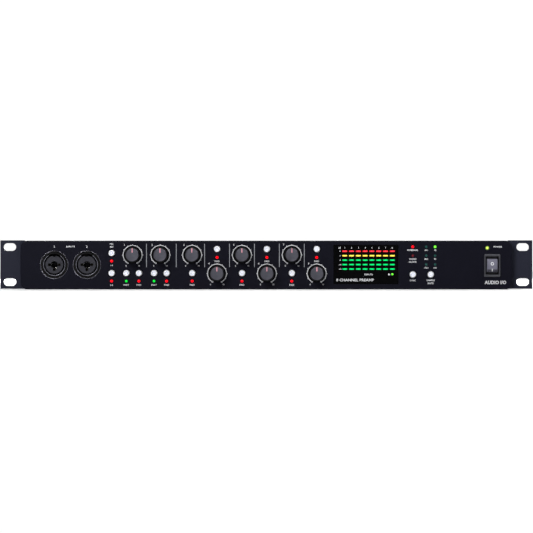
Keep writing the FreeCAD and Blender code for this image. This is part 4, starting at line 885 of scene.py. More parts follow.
def copies_recipe() -> Recipe:
    """A tree that puts a copy of one pattern on each point, turned as the point says."""
    recipe = Recipe("copies_on_points", {"Pattern": "NodeSocketObject", "Size": "NodeSocketFloat"})
    graph, given = recipe.graph, recipe.given
    pattern = graph.add("GeometryNodeObjectInfo", {"Object": given["Pattern"]})
    turn = graph.add("GeometryNodeInputNamedAttribute", {"Name": "turn"}, data_type="FLOAT_VECTOR")
    placed = graph.add(
        "GeometryNodeInstanceOnPoints",
        {
            "Points": given["Geometry"],
            "Instance": pattern.outputs["Geometry"],
            "Rotation": turn.outputs["Attribute"],
            "Scale": given["Size"],
        },
    )
    recipe.end(placed.outputs[0])
    return recipe


def dial_recipe() -> Recipe:
    """A tree that prints a dial's open ring, its ticks and its end dots round each point."""
    sizes = ("Radius", "Width", "Thickness", "Start", "Sweep", "Tick Length", "Dot Radius")
    recipe = Recipe("dial_rings", {label: "NodeSocketFloat" for label in sizes} | {"Ticks": "NodeSocketInt"})
    graph, given = recipe.graph, recipe.given
    line = graph.add(
        "GeometryNodeCurveArc",
        {
            "Resolution": 72,
            "Radius": given["Radius"],
            "Start Angle": given["Start"],
            "Sweep Angle": given["Sweep"],
        },
        mode="RADIUS",
    ).outputs[0]
    level = graph.add("GeometryNodeSetCurveNormal", {"Curve": line}, mode="Z_UP").outputs[0]
    section = graph.add(
        "GeometryNodeCurvePrimitiveQuadrilateral", {"Width": given["Width"], "Height": given["Thickness"]}
    ).outputs[0]
    ring = graph.add(
        "GeometryNodeCurveToMesh", {"Curve": level, "Profile Curve": section, "Fill Caps": True}
    ).outputs[0]
    outwards = graph.add(
        "FunctionNodeAlignRotationToVector",
        {"Vector": graph.add("GeometryNodeInputPosition").outputs[0]},
        axis="X",
    ).outputs[0]
    tick_size = graph.add(
        "ShaderNodeCombineXYZ", {0: given["Tick Length"], 1: given["Width"], 2: given["Thickness"]}
    ).outputs[0]
    tick = graph.add("GeometryNodeMeshCube", {"Size": tick_size}).outputs["Mesh"]
    half = graph.add("ShaderNodeMath", {0: given["Tick Length"], 1: 0.4}, operation="MULTIPLY").outputs[0]
    shift = graph.add("ShaderNodeCombineXYZ", {0: half}).outputs[0]
    tick = graph.add("GeometryNodeTransform", {"Geometry": tick, "Translation": shift}).outputs[0]
    marks = graph.add("GeometryNodeResampleCurve", {"Curve": line, "Count": given["Ticks"]}).outputs[0]
    ticks = graph.add(
        "GeometryNodeInstanceOnPoints", {"Points": marks, "Instance": tick, "Rotation": outwards}
    ).outputs[0]
    dot = graph.add(
        "GeometryNodeMeshCylinder",
        {"Vertices": 16, "Radius": given["Dot Radius"], "Depth": given["Thickness"]},
    ).outputs["Mesh"]
    ends = graph.add("GeometryNodeResampleCurve", {"Curve": line, "Count": 2}).outputs[0]
    dots = graph.add("GeometryNodeInstanceOnPoints", {"Points": ends, "Instance": dot}).outputs[0]
    whole = graph.add("GeometryNodeJoinGeometry").inputs[0]
    for part in (ring, ticks, dots):
        graph.tree.links.new(part, whole)
    turn = graph.add("GeometryNodeInputNamedAttribute", {"Name": "turn"}, data_type="FLOAT_VECTOR")
    placed = graph.add(
        "GeometryNodeInstanceOnPoints",
        {
            "Points": given["Geometry"],
            "Instance": whole.node.outputs[0],
            "Rotation": turn.outputs["Attribute"],
        },
    )
    recipe.end(placed.outputs[0])
    return recipe


def grip_recipe() -> Recipe:
    """A tree that stands a rib at each of many places round a knob's skirt."""
    inputs = {"Pattern": "NodeSocketObject", "Radius": "NodeSocketFloat", "Ribs": "NodeSocketInt"}
    recipe = Recipe("grip_ribs", inputs)
    graph, given = recipe.graph, recipe.given
    places = graph.add("GeometryNodeMeshCircle", {"Vertices": given["Ribs"], "Radius": given["Radius"]})
    outwards = graph.add(
        "FunctionNodeAlignRotationToVector",
        {"Vector": graph.add("GeometryNodeInputPosition").outputs[0]},
        axis="X",
    ).outputs[0]
    pattern = graph.add("GeometryNodeObjectInfo", {"Object": given["Pattern"]})
    ribs = graph.add(
        "GeometryNodeInstanceOnPoints",
        {
            "Points": places.outputs[0],
            "Instance": pattern.outputs["Geometry"],
            "Rotation": outwards,
        },
    ).outputs[0]
    turn = graph.add("GeometryNodeInputNamedAttribute", {"Name": "turn"}, data_type="FLOAT_VECTOR")
    placed = graph.add(
        "GeometryNodeInstanceOnPoints",
        {"Points": given["Geometry"], "Instance": ribs, "Rotation": turn.outputs["Attribute"]},
    )
    recipe.end(placed.outputs[0])
    return recipe


# ---------------------------------------------------------------- sub-assemblies


@dataclass
class Assembly:
    """A sub-assembly whose pieces are built, dressed and put on their bodies together.

    Attributes:
        copies: The tree that repeats a pattern.
    """

    frame: dict
    copies: Recipe

    @property
    def face(self) -> float:
        """Y of the fascia's face."""
        return node_box("front_fascia").low.y

    @property
    def back(self) -> float:
        """Y of the rear panel's outer face."""
        return node_box("rear_panel").high.y

    def solids(self, node: str) -> list[Box]:
        """Boxes of a CAD node's separate solids."""
        return islands(self.frame["nodes"][node])

    def joint_places(self, ending: str) -> list[tuple[str, Vector]]:
        """Body and place of every hinge whose name ends that way.

        Args:
            ending: The last part of the joint's name.

        Returns:
            The child body's name and the hinge's point, in the record's order.
        """
        return [
            (joint["child"], Vector(joint["pos_m"]))
            for joint in self.frame["joints"]
            if joint["name"].endswith(ending)
        ]

    def dress(self, node: str, finish: Finish | LightLens | Laminate) -> None:
        """Gives a CAD node its material.

        Args:
            node: The CAD node.
            finish: What it is made of.
        """
        data = self.frame["nodes"][node].data
        data.materials.clear()
        data.materials.append(finish.material())
        LOG.info("dressed %s in %s", node, finish.name)

    def publish(
        self,
        piece: bpy.types.Object,
        finish: Finish | LightLens | None,
        slot: str,
        body: str = CHASSIS,
        stands_for: Sequence[str] = (),
    ) -> bpy.types.Object:
        """Dresses a piece and puts it on its body.

        Args:
            piece: The piece.
            finish: Its finish, or None where its material is set already.
            slot: The record's material slot; not used.
            body: The CAD body that carries it.
            stands_for: CAD nodes that it replaces.

        Returns:
            The piece.
        """
        if finish is not None:
            piece.data.materials.clear()
            piece.data.materials.append(finish.material())
        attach(piece, body)
        if stands_for:
            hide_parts(*stands_for)
        LOG.info("piece %s rides on %s", piece.name, body)
        return piece

    def repeat(
        self,
        name: str,
        pattern: bmesh.types.BMesh,
        places: Sequence[Matrix],
        finish: Finish | LightLens,
        slot: str,
        stands_for: Sequence[str] = (),
        body: str = CHASSIS,
    ) -> bpy.types.Object:
        """Puts copies of a pattern at several places on one body, as one piece.

        Args:
            name: The piece's name.
            pattern: The pattern, about the local Z axis.
            places: Where the copies go.
            finish: What they are made of.
            slot: The record's material slot.
            stands_for: CAD nodes that the piece replaces.
            body: The CAD body that carries it.

        Returns:
            The piece.
        """
        source = to_object(name + "_pattern", pattern)
        piece = self.copies.run(name, places, {"Pattern": source, "Size": 1.0}, finish)
        bpy.data.objects.remove(source)
        return self.publish(piece, None, slot, body, stands_for)


@dataclass
class CaseWork(Assembly):
    """Fascia, tray, lid, rear panel, ears and the screws that hold them.

    Attributes:
        head_round: Radius of a screw head's edge.
        cross_arm: Half length of the driver recess.
        cross_width: Half width of one arm of the recess.
        recess_depth: Depth of the recess.
        chamfer: Width of the chamfer round a front socket.
        set_in: Distance of its bright band from the rim of the chamfer.
        bright: Width of that band.
    """

    head_round: float = 0.35 * MM
    cross_arm: float = 1.45 * MM
    cross_width: float = 0.32 * MM
    recess_depth: float = 0.55 * MM
    chamfer: float = 0.9 * MM
    set_in: float = 0.35 * MM
    bright: float = 0.5 * MM

    def build(self) -> None:
        """Dresses the sheet metal and adds screws and chamfer rings."""
        self.dress("front_fascia", FINISH.fascia)
        for node in ("bottom_tray", "top_cover", "rear_panel"):
            self.dress(node, FINISH.case)
        for node in ("rack_ear_left", "rack_ear_right"):
            self.dress(node, FINISH.ears)
        self._screws("case_screw_heads", "case_screws")
        self._screws("ear_screw_heads", "ear_screws")
        self._chamfer_rings()

    def _cross(self, angle: float) -> float:
        """Radius of the driver recess at an angle."""
        folded = abs((angle + math.pi / 4) % (math.pi / 2) - math.pi / 4)
        if math.tan(folded) < self.cross_width / self.cross_arm:
            return self.cross_arm / math.cos(folded)
        return self.cross_width / math.sin(folded)

    def _head(self, radius: float, height: float, shank: float, reach: float) -> bmesh.types.BMesh:
        """A pan head with a cross recess, on its shank.

        Args:
            radius: Head radius.
            height: Head height.
            shank: Shank radius.
            reach: Shank length.

        Returns:
            The pattern, with the seat at its origin.
        """
        steps = 48
        crown = arc((radius - self.head_round, height - self.head_round), self.head_round, 0, 80, 4)
        outline = [(shank * 0.7, -reach), (shank, -reach + 0.4 * MM), (shank, 0.0), (radius, 0.0)] + crown
        loops = [ring_loop(r, level, steps) for r, level in outline]
        loops.append(ring_loop(radius * 0.62, height, steps))
        loops.append(ring_loop(self._cross, height, steps))
        loops.append(ring_loop(lambda a: 0.8 * self._cross(a), height - self.recess_depth, steps))
        return loft(loops)

    def _screws(self, name: str, node: str) -> None:
        """Replaces a CAD node of screws by detailed ones.

        Args:
            name: The new piece's name.
            node: The CAD node.
        """
        boxes = self.solids(node)
        places, radius, height, length = [], 0.0, 0.0, 0.0
        inner = node_box("bottom_tray")
        for n, box in enumerate(boxes):
            facing, seat = self._seat(box, inner)
            places.append(facing.matrix(seat, n * GOLDEN_TURN))
            thin = sorted(box.size)
            radius, length = thin[1] / 2, thin[2]
        height = 1.0 * MM if node == "case_screws" else 1.9 * MM
        shank = 1.5 * MM if node == "case_screws" else 2.0 * MM
        reach = 4.5 * MM if node == "case_screws" else length - height
        pattern = self._head(radius, height, shank, reach)
        self.repeat(name, pattern, places, FINISH.screws, "black_screws", stands_for=(node,))

    def _seat(self, box: Box, inner: Box) -> tuple[Facing, Vector]:
        """Works out which way a screw faces and where its head sits.

        Args:
            box: The screw's box.
            inner: The tray's box.

        Returns:
            The facing and the seat under the head.
        """
        middle, size = box.centre, box.size
        longest = max(range(3), key=lambda axis: size[axis])
        if longest == 2:
            return Facing.UP, Vector((middle.x, middle.y, node_box("top_cover").high.z))
        if longest == 0:
            head = 1.0 * MM if size.y < 6.5 * MM else 1.9 * MM
            if middle.x > 0:
                return Facing.RIGHT, Vector((box.high.x - head, middle.y, middle.z))
            return Facing.LEFT, Vector((box.low.x + head, middle.y, middle.z))
        return Facing.REAR, Vector((middle.x, box.high.y - 1.0 * MM, middle.z))

    def _chamfer_rings(self) -> None:
        """Bright cut chamfers round the front sockets."""
        shell = self.solids("front_input_shells")
        outer = 12.2 * MM + self.chamfer - self.set_in
        inner = outer - self.bright
        lift = 0.05 * MM
        section = [
            (inner + lift, -self.set_in - self.bright - lift),
            (inner - lift, -self.set_in - self.bright + lift),
            (outer - lift, -self.set_in + lift),
            (outer + lift, -self.set_in - lift),
        ]
        places = [
            Facing.FRONT.matrix(Vector((box.centre.x, self.face, box.centre.z))) for box in shell
        ]
        self.repeat(
            "socket_chamfer_rings", lathe(section, 96, closed=True), places, FINISH.cut_aluminium,
            "nickel",
        )


@dataclass
class InputSockets(Assembly):
    """Combined microphone and line sockets, two in front and six behind.

    Attributes:
        outer: Outer radius of the nose ring.
        inner: Radius of the plug space.
        latch_half: Half angle of the gap for the latch, in degrees.
    """

    outer: float = 11.75 * MM
    inner: float = 9.55 * MM
    latch_half: float = 33.0

    def build(self) -> None:
        """Dresses the shells and inserts, and adds noses, latches and contact rims."""
        for node in ("front_input_shells", "rear_input_shells"):
            self.dress(node, FINISH.shell)
        self.dress("input_inserts", FINISH.insert)
        # Contacts in near-black metal.
        self.dress("input_contacts", FINISH.gold)
        places = self._places()
        self.repeat("socket_nose_rings", self._nose(), places, FINISH.nose, "socket_shell")
        # Thin lighter metal rings at the nose mouths: painted highlight along each lip.
        self.repeat("socket_nose_edges", self._edge(), places, FINISH.nose_edge, "socket_shell")
        self.repeat("socket_latches", self._latch(), places, FINISH.shell, "socket_shell")
        self.repeat("insert_face_rims", self._rim(), places, FINISH.insert, "socket_insert")
        self.repeat("jack_throats", self._throat(), places, FINISH.nickel, "contact_metal")

    def _places(self) -> list[Matrix]:
        """A place for each socket, its origin at the panel face on the socket's axis."""
        found = []
        for box in self.solids("front_input_shells"):
            found.append(Facing.FRONT.matrix(Vector((box.centre.x, self.face, box.centre.z))))
        for box in self.solids("rear_input_shells"):
            found.append(Facing.REAR.matrix(Vector((box.centre.x, self.back, box.centre.z))))
        return found

    def _nose(self) -> bmesh.types.BMesh:
        """The raised ring round the plug space, open at the top for the latch."""
        lip = 0.45 * MM
        level = -0.25 * MM
        section = (
            [(self.inner, -4.0 * MM)]
            + arc((self.inner + lip, level - lip), lip, 180, 90, 4)
            + arc((self.outer - lip, level - lip), lip, 90, 0, 4)
            + [(self.outer, -4.0 * MM)]
        )
        start = 90.0 + self.latch_half
        return part_lathe(section, start, start + 360 - 2 * self.latch_half, 84)

    def _edge(self) -> bmesh.types.BMesh:
        """A thin lighter-grey metal ring round the mouth of the nose ring: a painted highlight along its lip."""
        middle, half = (self.inner + 0.22 * MM, -0.45 * MM), 0.24 * MM
        start = 90.0 + self.latch_half
        return part_lathe(arc(middle, half, 0, 315, 7), start, start + 360 - 2 * self.latch_half, 84)

    def _latch(self) -> bmesh.types.BMesh:
        """The release latch in the gap of the nose ring."""
        section = [
            (self.inner + 0.25 * MM, -4.5 * MM),
            (self.inner + 0.25 * MM, -1.9 * MM),
            (self.inner + 0.7 * MM, -1.5 * MM),
            (self.outer - 0.7 * MM, -1.5 * MM),
            (self.outer - 0.35 * MM, -1.8 * MM),
            (self.outer - 0.35 * MM, -4.5 * MM),
        ]
        half = self.latch_half - 5.0
        return part_lathe(section, 90 - half, 90 + half, 14)

    def _rim(self) -> bmesh.types.BMesh:
        """A rounded rim round the face of the contact insert."""
        radius, edge, face = 8.1 * MM, 0.3 * MM, -0.97 * MM
        section = (
            [(radius - 1.0 * MM, face - 0.3 * MM), (radius - 0.9 * MM, face)]
            + arc((radius - edge, face - edge), edge, 90, 0, 4)
            + [(radius, face - 1.0 * MM)]
        )
        return part_lathe(section, 100.0, 440.0, 84)

    def _throat(self) -> bmesh.types.BMesh:
        """The plated sleeve deep in the quarter-inch bore."""
        outer, inner = 3.24 * MM, 3.0 * MM
        section = [(outer, -20 * MM), (outer, -9 * MM), (inner, -8.7 * MM), (inner, -20 * MM)]
        return lathe(section, 40, closed=True)


@dataclass
class GainKnobs(Assembly):
    """Eight knobs: a ribbed rubber skirt, a spun cap and an inlaid pointer on each.

    Attributes:
        foot: Radius at the foot.
        crown: Radius of the cap.
        height: Height of the cap's face over the fascia.
        ribs: Grip ribs round the skirt.
    """

    foot: float = 7.7 * MM
    crown: float = 6.05 * MM
    height: float = 13.0 * MM
    ribs: int = 36

    def build(self) -> None:
        """Builds every knob on its own body."""
        grip = grip_recipe()
        rib = to_object("rib_pattern", self._rib())
        for number, (body, place) in enumerate(self.joint_places("_turn"), start=1):
            seat = Facing.FRONT.matrix(Vector((place.x, self.face, place.z)))
            skirt = to_object(f"knob_skirt_{number}", self._skirt(), seat)
            node = f"gain_knob_{number}"
            self.publish(skirt, FINISH.skirt, "knob_plastic", body, stands_for=(node,))
            values = {"Pattern": rib, "Radius": 0.0, "Ribs": self.ribs}
            values["Radius"] = 0.01 * MM
            ribs = grip.run(f"knob_grip_{number}", [seat], values, FINISH.skirt)
            self.publish(ribs, None, "knob_plastic", body)
            cap = to_object(f"knob_cap_{number}", self._cap(), seat)
            self.publish(cap, FINISH.cap, "knob_plastic", body)
            pointer = to_object(f"knob_pointer_{number}", self._pointer(), seat)
            self.publish(pointer, FINISH.pointer, "knob_plastic", body)
        bpy.data.objects.remove(rib)

    def _skirt(self) -> bmesh.types.BMesh:
        """The tapered skirt with its flange, round the shaft."""
        top = self.height - 0.55 * MM
        shaft = 3.0 * MM
        outline = [(0.0, -7.5 * MM), (shaft - 0.3 * MM, -7.5 * MM), (shaft, -7.2 * MM), (shaft, 0.5 * MM)]
        outline += arc((self.foot - 0.3 * MM, 0.8 * MM), 0.3 * MM, -90, 0, 3)
        outline += arc((self.foot - 0.4 * MM, 1.9 * MM), 0.4 * MM, 0, 80, 3)
        outline += [(self.crown + 0.75 * MM, 2.6 * MM), (self.crown + 0.42 * MM, top - 0.9 * MM)]
        outline += arc((self.crown - 0.1 * MM, top - 0.5 * MM), 0.5 * MM, 0, 90, 4)
        outline += [(self.crown - 0.8 * MM, top), (self.crown - 0.8 * MM, top - 0.4 * MM), (0.0, top - 0.4 * MM)]
        return lathe(outline, 72)

    def _rib(self) -> bmesh.types.BMesh:
        """One grip rib, standing at its place beside the skirt."""
        half, proud = 0.22 * MM, 0.30 * MM
        low, high = 2.7 * MM, self.height - 1.6 * MM
        near, far = self.crown + 0.72 * MM, self.crown + 0.40 * MM
        loops = []
        for share, swell in ((0.0, 0.2), (0.06, 1.0), (0.94, 1.0), (1.0, 0.2)):
            level = low + (high - low) * share
            root = near + (far - near) * share - 0.15 * MM
            reach = root + 0.15 * MM + proud * swell
            points = [(root, -half), (reach - 0.1 * MM, -half), (reach, 0.0), (reach - 0.1 * MM, half), (root, half)]
            loops.append([Vector((x, y, level)) for x, y in points])
        return loft(loops)

    def _cap(self) -> bmesh.types.BMesh:
        """The spun cap: a shallow dish inside a rounded rim."""
        top, edge, ease = self.height, 0.65 * MM, 0.08 * MM
        outline = [(0.0, top - 1.0 * MM), (self.crown - 0.75 * MM, top - 1.0 * MM)]
        outline += [(self.crown, top - 0.8 * MM), (self.crown, top - edge - ease)]
        outline += [(self.crown - ease / 2, top - edge + ease / 2), (self.crown - edge, top - ease / 2)]
        dish = self.crown - edge - 2 * ease
        outline += [(dish, top)]
        for n in range(7):
            share = n / 6
            outline.append((dish * (1 - share), top - 0.12 * MM - 0.22 * MM * math.sin(share * math.pi / 2)))
        return lathe(outline, 96)

    def _pointer(self) -> bmesh.types.BMesh:
        """The inlaid line from the cap's edge inwards."""
        length, width, top = 4.0 * MM, 0.8 * MM, self.height - 0.02 * MM
        low = top - 0.9 * MM
        layers = [
            (width, length, 0.25 * MM, low),
            (width, length, 0.25 * MM, top - 0.1 * MM),
            (width - 0.2 * MM, length - 0.2 * MM, 0.2 * MM, top),
        ]
        mesh = slab(layers)
        mesh.transform(Matrix.Translation((0.0, self.crown - length / 2 - 0.1 * MM, 0.0)))
        return mesh


@dataclass
class PushButtons(Assembly):
    """Round gloss buttons with a dished middle, each on its own body.

    Attributes:
        radius: Button radius.
        proud: Height over the fascia.
        dish: Radius of the dished middle.
    """

    radius: float = 2.65 * MM
    proud: float = 2.0 * MM
    dish: float = 1.6 * MM

    def build(self) -> None:
        """Replaces every CAD button by a detailed one."""
        bodies = self.frame["record"]["behaviour"]["bodies"]
        for body, nodes in bodies.items():
            if "_press" not in body and "phantom" not in body:
                continue
            node = nodes[0]
            middle = node_box(node).centre
            seat = Facing.FRONT.matrix(Vector((middle.x, self.face, middle.z)))
            button = to_object(node + "_body", self._body(), seat)
            self.publish(button, FINISH.white_plastic, "button_plastic", body, stands_for=(node,))
            # Blue-grey ring in the dish groove: painted shade.
            ring = to_object(node + "_dish", self._dish(), seat)
            self.publish(ring, FINISH.dish, "button_plastic", body)

    def _body(self) -> bmesh.types.BMesh:
        """The cap with its collar and stem."""
        collar = self.radius + 1.0 * MM
        outline = [(0.0, -10 * MM), (1.6 * MM, -10 * MM), (1.6 * MM, -4.2 * MM), (collar, -4.2 * MM)]
        outline += [(collar, -3.35 * MM), (self.radius, -3.35 * MM)]
        outline += arc((self.radius - 0.55 * MM, self.proud - 0.6 * MM), 0.55 * MM, 0, 90, 6)
        outline += arc((self.dish + 0.15 * MM, self.proud - 0.3 * MM), 0.25 * MM, 90, 180, 4)
        outline += [(self.dish - 0.3 * MM, self.proud - 0.42 * MM), (0.0, self.proud - 0.36 * MM)]
        return lathe(outline, 48)

    def _dish(self) -> bmesh.types.BMesh:
        """A blue-grey ring in the groove at the foot of the dish: painted shade of the groove."""
        level = self.proud - 0.30 * MM
        section = [
            (self.dish - 0.42 * MM, level - 0.25 * MM),
            (self.dish - 0.40 * MM, level - 0.04 * MM),
            (self.dish - 0.22 * MM, level),
            (self.dish - 0.02 * MM, level - 0.01 * MM),
            (self.dish + 0.02 * MM, level - 0.25 * MM),
        ]
        return lathe(section, 48, closed=True)


@dataclass
class Indicators(Assembly):
    """Domed indicator lenses, lit and dark.

    Attributes:
        dome: How far a lens stands out of the fascia.
        reach: How far it goes in behind.
    """

    dome: float = 0.55 * MM
    reach: float = 5.8 * MM

    def build(self) -> None:
        """Replaces the CAD light pipes by domed lenses."""
        clock_edge = node_box("display_window").high.x
        red = self.solids("red_led_lenses")
        clock_red = [box for box in red if box.centre.x > clock_edge]
        dark_red = [min(clock_red, key=lambda box: box.centre.z)]
        green = self.solids("green_led_lenses")
        rates = [box for box in green if box.centre.x > clock_edge]
        chosen = max(rates, key=lambda box: (round(box.centre.z, 4), box.centre.x))
        self._lenses("red_indicators", [b for b in red if b not in dark_red], FINISH.red_on, "red_lens",
                     ("red_led_lenses",))
        self._lenses("clock_indicator_dark", dark_red, FINISH.red_off, "red_lens", ())
        self._lenses("instrument_indicators", [b for b in green if b not in rates], FINISH.green_on,
                     "green_lens", ("green_led_lenses",))
        self._lenses("rate_indicator_lit", [chosen], FINISH.lime_on, "green_lens", ())
        self._lenses("rate_indicators_dark", [b for b in rates if b is not chosen], FINISH.teal_off,
                     "green_lens", ())
        self._lenses("power_indicator", self.solids("power_led_lens"), FINISH.power_on, "power_lens",
                     ("power_led_lens",))
        self._power_bezel()

    def _lenses(
        self, name: str, boxes: Sequence[Box], finish: LightLens, slot: str, nodes: Sequence[str]
    ) -> None:
        """One piece of lenses of the same colour.

        Args:
            name: The piece's name.
            boxes: The CAD light pipes that they follow.
            finish: Their colour.
            slot: The record's material slot.
            nodes: CAD nodes that they replace.
        """
        radius = boxes[0].size.x / 2
        dome = self.dome * radius / (1.2 * MM)
        outline = [(0.0, -self.reach), (radius, -self.reach), (radius, -0.05 * MM)]
        for n in range(1, 7):
            angle = n / 6 * math.pi / 2
            outline.append((radius * math.cos(angle), -0.05 * MM + dome * math.sin(angle)))
        pattern = map_over_face(lathe(outline, 32), radius)
        places = [Facing.FRONT.matrix(Vector((b.centre.x, self.face, b.centre.z))) for b in boxes]
        self.repeat(name, pattern, places, finish, slot, nodes)

    def _power_bezel(self) -> None:
        """The small dark bezel round the power indicator."""
        box = self.solids("power_led_lens")[0]
        inner = box.size.x / 2 + 0.05 * MM
        section = [(inner, 0.0), (inner, 0.25 * MM)]
        section += arc((inner + 0.3 * MM, 0.25 * MM), 0.2 * MM, 120, 0, 4)
        section += [(inner + 0.55 * MM, 0.0)]
        place = Facing.FRONT.matrix(Vector((box.centre.x, self.face, box.centre.z)))
        self.repeat("power_indicator_bezel", lathe(section, 40, closed=True), [place],
                    FINISH.black_plastic, "switch_frame")


@dataclass
class LevelMeter(Assembly):
    """The display window and its lit bars.

    Attributes:
        corner: Corner radius of a bar.
        edge: Rounding of a bar's face.
        play: How much smaller a bar is than its opening.
    """

    corner: float = 0.35 * MM
    edge: float = 0.12 * MM
    play: float = 0.4 * MM

    def build(self) -> None:
        """Dresses the window and replaces the light guides by rounded bars."""
        self.dress("display_window", FINISH.window)
        greens = self.solids("meter_lights_green")
        lock = max(greens, key=lambda box: box.size.z / box.size.x)
        groups = (
            ("meter_bars_red", self.solids("meter_lights_red"), FINISH.bar_red, "red_lens",
             "meter_lights_red"),
            ("meter_bars_yellow", self.solids("meter_lights_yellow"), FINISH.bar_yellow, "yellow_lens",
             "meter_lights_yellow"),
            ("meter_bars_green", [b for b in greens if b is not lock], FINISH.bar_green, "green_lens",
             "meter_lights_green"),
        )
        for name, boxes, finish, slot, node in groups:
            self.repeat(name, self._bar(boxes[0]), self._places(boxes), finish, slot, (node,))
        radius = lock.size.x / 2
        outline = [(0.0, -13 * MM), (radius, -13 * MM), (radius, -0.1 * MM), (radius * 0.8, 0.0), (0.0, 0.05 * MM)]
        dot = map_over_face(lathe(outline, 32), radius)
        self.repeat("lock_indicator", dot, self._places([lock]), FINISH.lime_on, "green_lens")

    def _places(self, boxes: Sequence[Box]) -> list[Matrix]:
        """Places on the window's face over each box."""
        return [Facing.FRONT.matrix(Vector((b.centre.x, self.face, b.centre.z))) for b in boxes]

    def _bar(self, box: Box) -> bmesh.types.BMesh:
        """One bar, with its face just under the window's.

        Args:
            box: The CAD light guide that it follows.

        Returns:
            The bar.
        """
        width, height = box.size.x - self.play, box.size.z - self.play / 2
        layers = [
            (width, height, self.corner, -13.5 * MM),
            (width, height, self.corner, -self.edge),
            (width - self.edge, height - self.edge, self.corner * 0.8, 0.02 * MM),
        ]
        return slab(layers)


@dataclass
class PowerSwitch(Assembly):
    """The mains rocker switch.

    Attributes:
        proud: Height of the frame over the fascia.
        half: Half height of the rocker.
        width: Width of the rocker.
        crown: How far the middle of the rocker's face stands before its pivot.
        fall: How far the face drops back at its ends.
        tilt: Turn of the rocker at rest, in degrees.
        rib_count: Grip ribs on each side of the lower mark.
        rib_pitch: Distance from one rib to the next.
        rib_length: Length of a rib.
        rib_level: Height of a rib's middle over the pivot.
    """

    proud: float = 1.8 * MM
    half: float = 6.1 * MM
    width: float = 9.4 * MM
    crown: float = 2.9 * MM
    fall: float = 1.7 * MM
    tilt: float = 10.0
    rib_count: int = 5
    rib_pitch: float = 0.8 * MM
    rib_length: float = 2.6 * MM
    rib_level: float = -4.5 * MM

    def build(self) -> None:
        """Builds the frame, the rocker, its marks and its grip."""
        housing = node_box("power_switch_housing")
        body, pivot = self.joint_places("rocker_tilt")[0]
        middle = Vector((pivot.x, self.face, pivot.z))
        frame = to_object("switch_frame", self._frame(housing.size), Facing.FRONT.matrix(middle))
        self.publish(frame, FINISH.switch_frame, "switch_frame", stands_for=("power_switch_housing",))
        lean = Matrix.Rotation(math.radians(self.tilt), 4, "X")
        place = Matrix.Translation(pivot) @ lean
        rocker = to_object("rocker", self._rocker(), place)
        self.publish(rocker, FINISH.rocker, "rocker_plastic", body, stands_for=("power_rocker",))
        marks = join("rocker_marks", self._marks(place))
        self.publish(marks, FINISH.ink, "rocker_plastic", body)
        # Grip ribs on the lower end, in near-black: painted shade over that end.
        rib = self._on_face((0.5 * MM, self.rib_length, 0.15 * MM), self.rib_level)
        steps = [step for step in range(-self.rib_count, self.rib_count + 1) if step]
        places = [place @ Matrix.Translation((step * self.rib_pitch, 0.0, 0.0)) for step in steps]
        self.repeat("rocker_grip_ribs", rib, places, FINISH.grip, "rocker_plastic", body=body)

    def _frame(self, size: Vector) -> bmesh.types.BMesh:
        """The housing: a bevelled frame round a well, and its body behind the fascia.

        Args:
            size: The CAD housing's extent.

        Returns:
            The frame.
        """
        wide, tall, well_x, well_z = size.x, size.z, 11.8 * MM, 16.4 * MM
        deep = -14 * MM
        bevel = 0.6 * MM
        layers = [
            (well_x, well_z, 0.5 * MM, -9 * MM),
            (12.9 * MM, 18.9 * MM, 0.5 * MM, deep),
            (12.9 * MM, 18.9 * MM, 0.5 * MM, 0.0),
            (wide, tall, 1.0 * MM, 0.0),
            (wide, tall, 1.0 * MM, self.proud - bevel),
            (wide - bevel, tall - bevel, 0.9 * MM, self.proud - 0.2 * MM),
            (wide - 1.6 * bevel, tall - 1.6 * bevel, 0.8 * MM, self.proud),
            (well_x + 0.9 * MM, well_z + 0.9 * MM, 0.8 * MM, self.proud),
            (well_x + 0.2 * MM, well_z + 0.2 * MM, 0.6 * MM, self.proud - 0.35 * MM),
            (well_x, well_z, 0.5 * MM, self.proud - 0.7 * MM),
        ]
        mesh = slab(layers, closed=True)
        floor = slab([(well_x, well_z, 0.5 * MM, -10.0 * MM), (well_x, well_z, 0.5 * MM, -9.0 * MM)])
        copy = bpy.data.meshes.new("switch_floor")
        floor.to_mesh(copy)
        floor.free()
        mesh.from_mesh(copy)
        bpy.data.meshes.remove(copy)
        return mesh

    def _face_depth(self, height: float) -> float:
        """Y of the rocker's crowned face at a height over its pivot."""
        share = height / self.half
        return self.fall * share * share - self.crown

    def _rocker(self) -> bmesh.types.BMesh:
        """The rocker: a crowned bar that narrows behind its pivot."""
        steps = 14
        front = [(self.half * (1 - 2 * n / steps)) for n in range(steps + 1)]
        outline = [(self._face_depth(height), height) for height in front]
        outline += [(1.5 * MM, -self.half), (5.0 * MM, -2.6 * MM)]
        outline += arc((5.4 * MM, 0.0), 1.1 * MM, -80, 80, 6)
        outline += [(5.0 * MM, 2.6 * MM), (1.5 * MM, self.half)]
        loops = [
            [Vector((side * self.width / 2, y, z)) for y, z in outline] for side in (-1, 1)
        ]
        mesh = loft(loops)
        sharp = [e for e in mesh.edges if len(e.link_faces) == 2 and e.calc_face_angle() > 0.6]
        bmesh.ops.bevel(mesh, geom=sharp, offset=0.4 * MM, segments=3, profile=0.5, affect="EDGES")
        bmesh.ops.recalc_face_normals(mesh, faces=mesh.faces)
        return mesh

    def _marks(self, place: Matrix) -> list[bpy.types.Object]:
        """The ring and the bar printed on the rocker's face.

        Args:
            place: The rocker's place.

        Returns:
            The two marks.
        """
        inner, outer, low, high = 0.85 * MM, 1.45 * MM, -0.25 * MM, 0.07 * MM
        ring = lathe([(inner, low), (inner, high), (outer, high), (outer, low)], 40, closed=True)
        ring = self._follow_face(ring, 2.0 * MM)
        bar = self._on_face((0.7 * MM, 2.8 * MM, high), -3.9 * MM)
        return [to_object("off_mark", ring, place), to_object("on_mark", bar, place)]

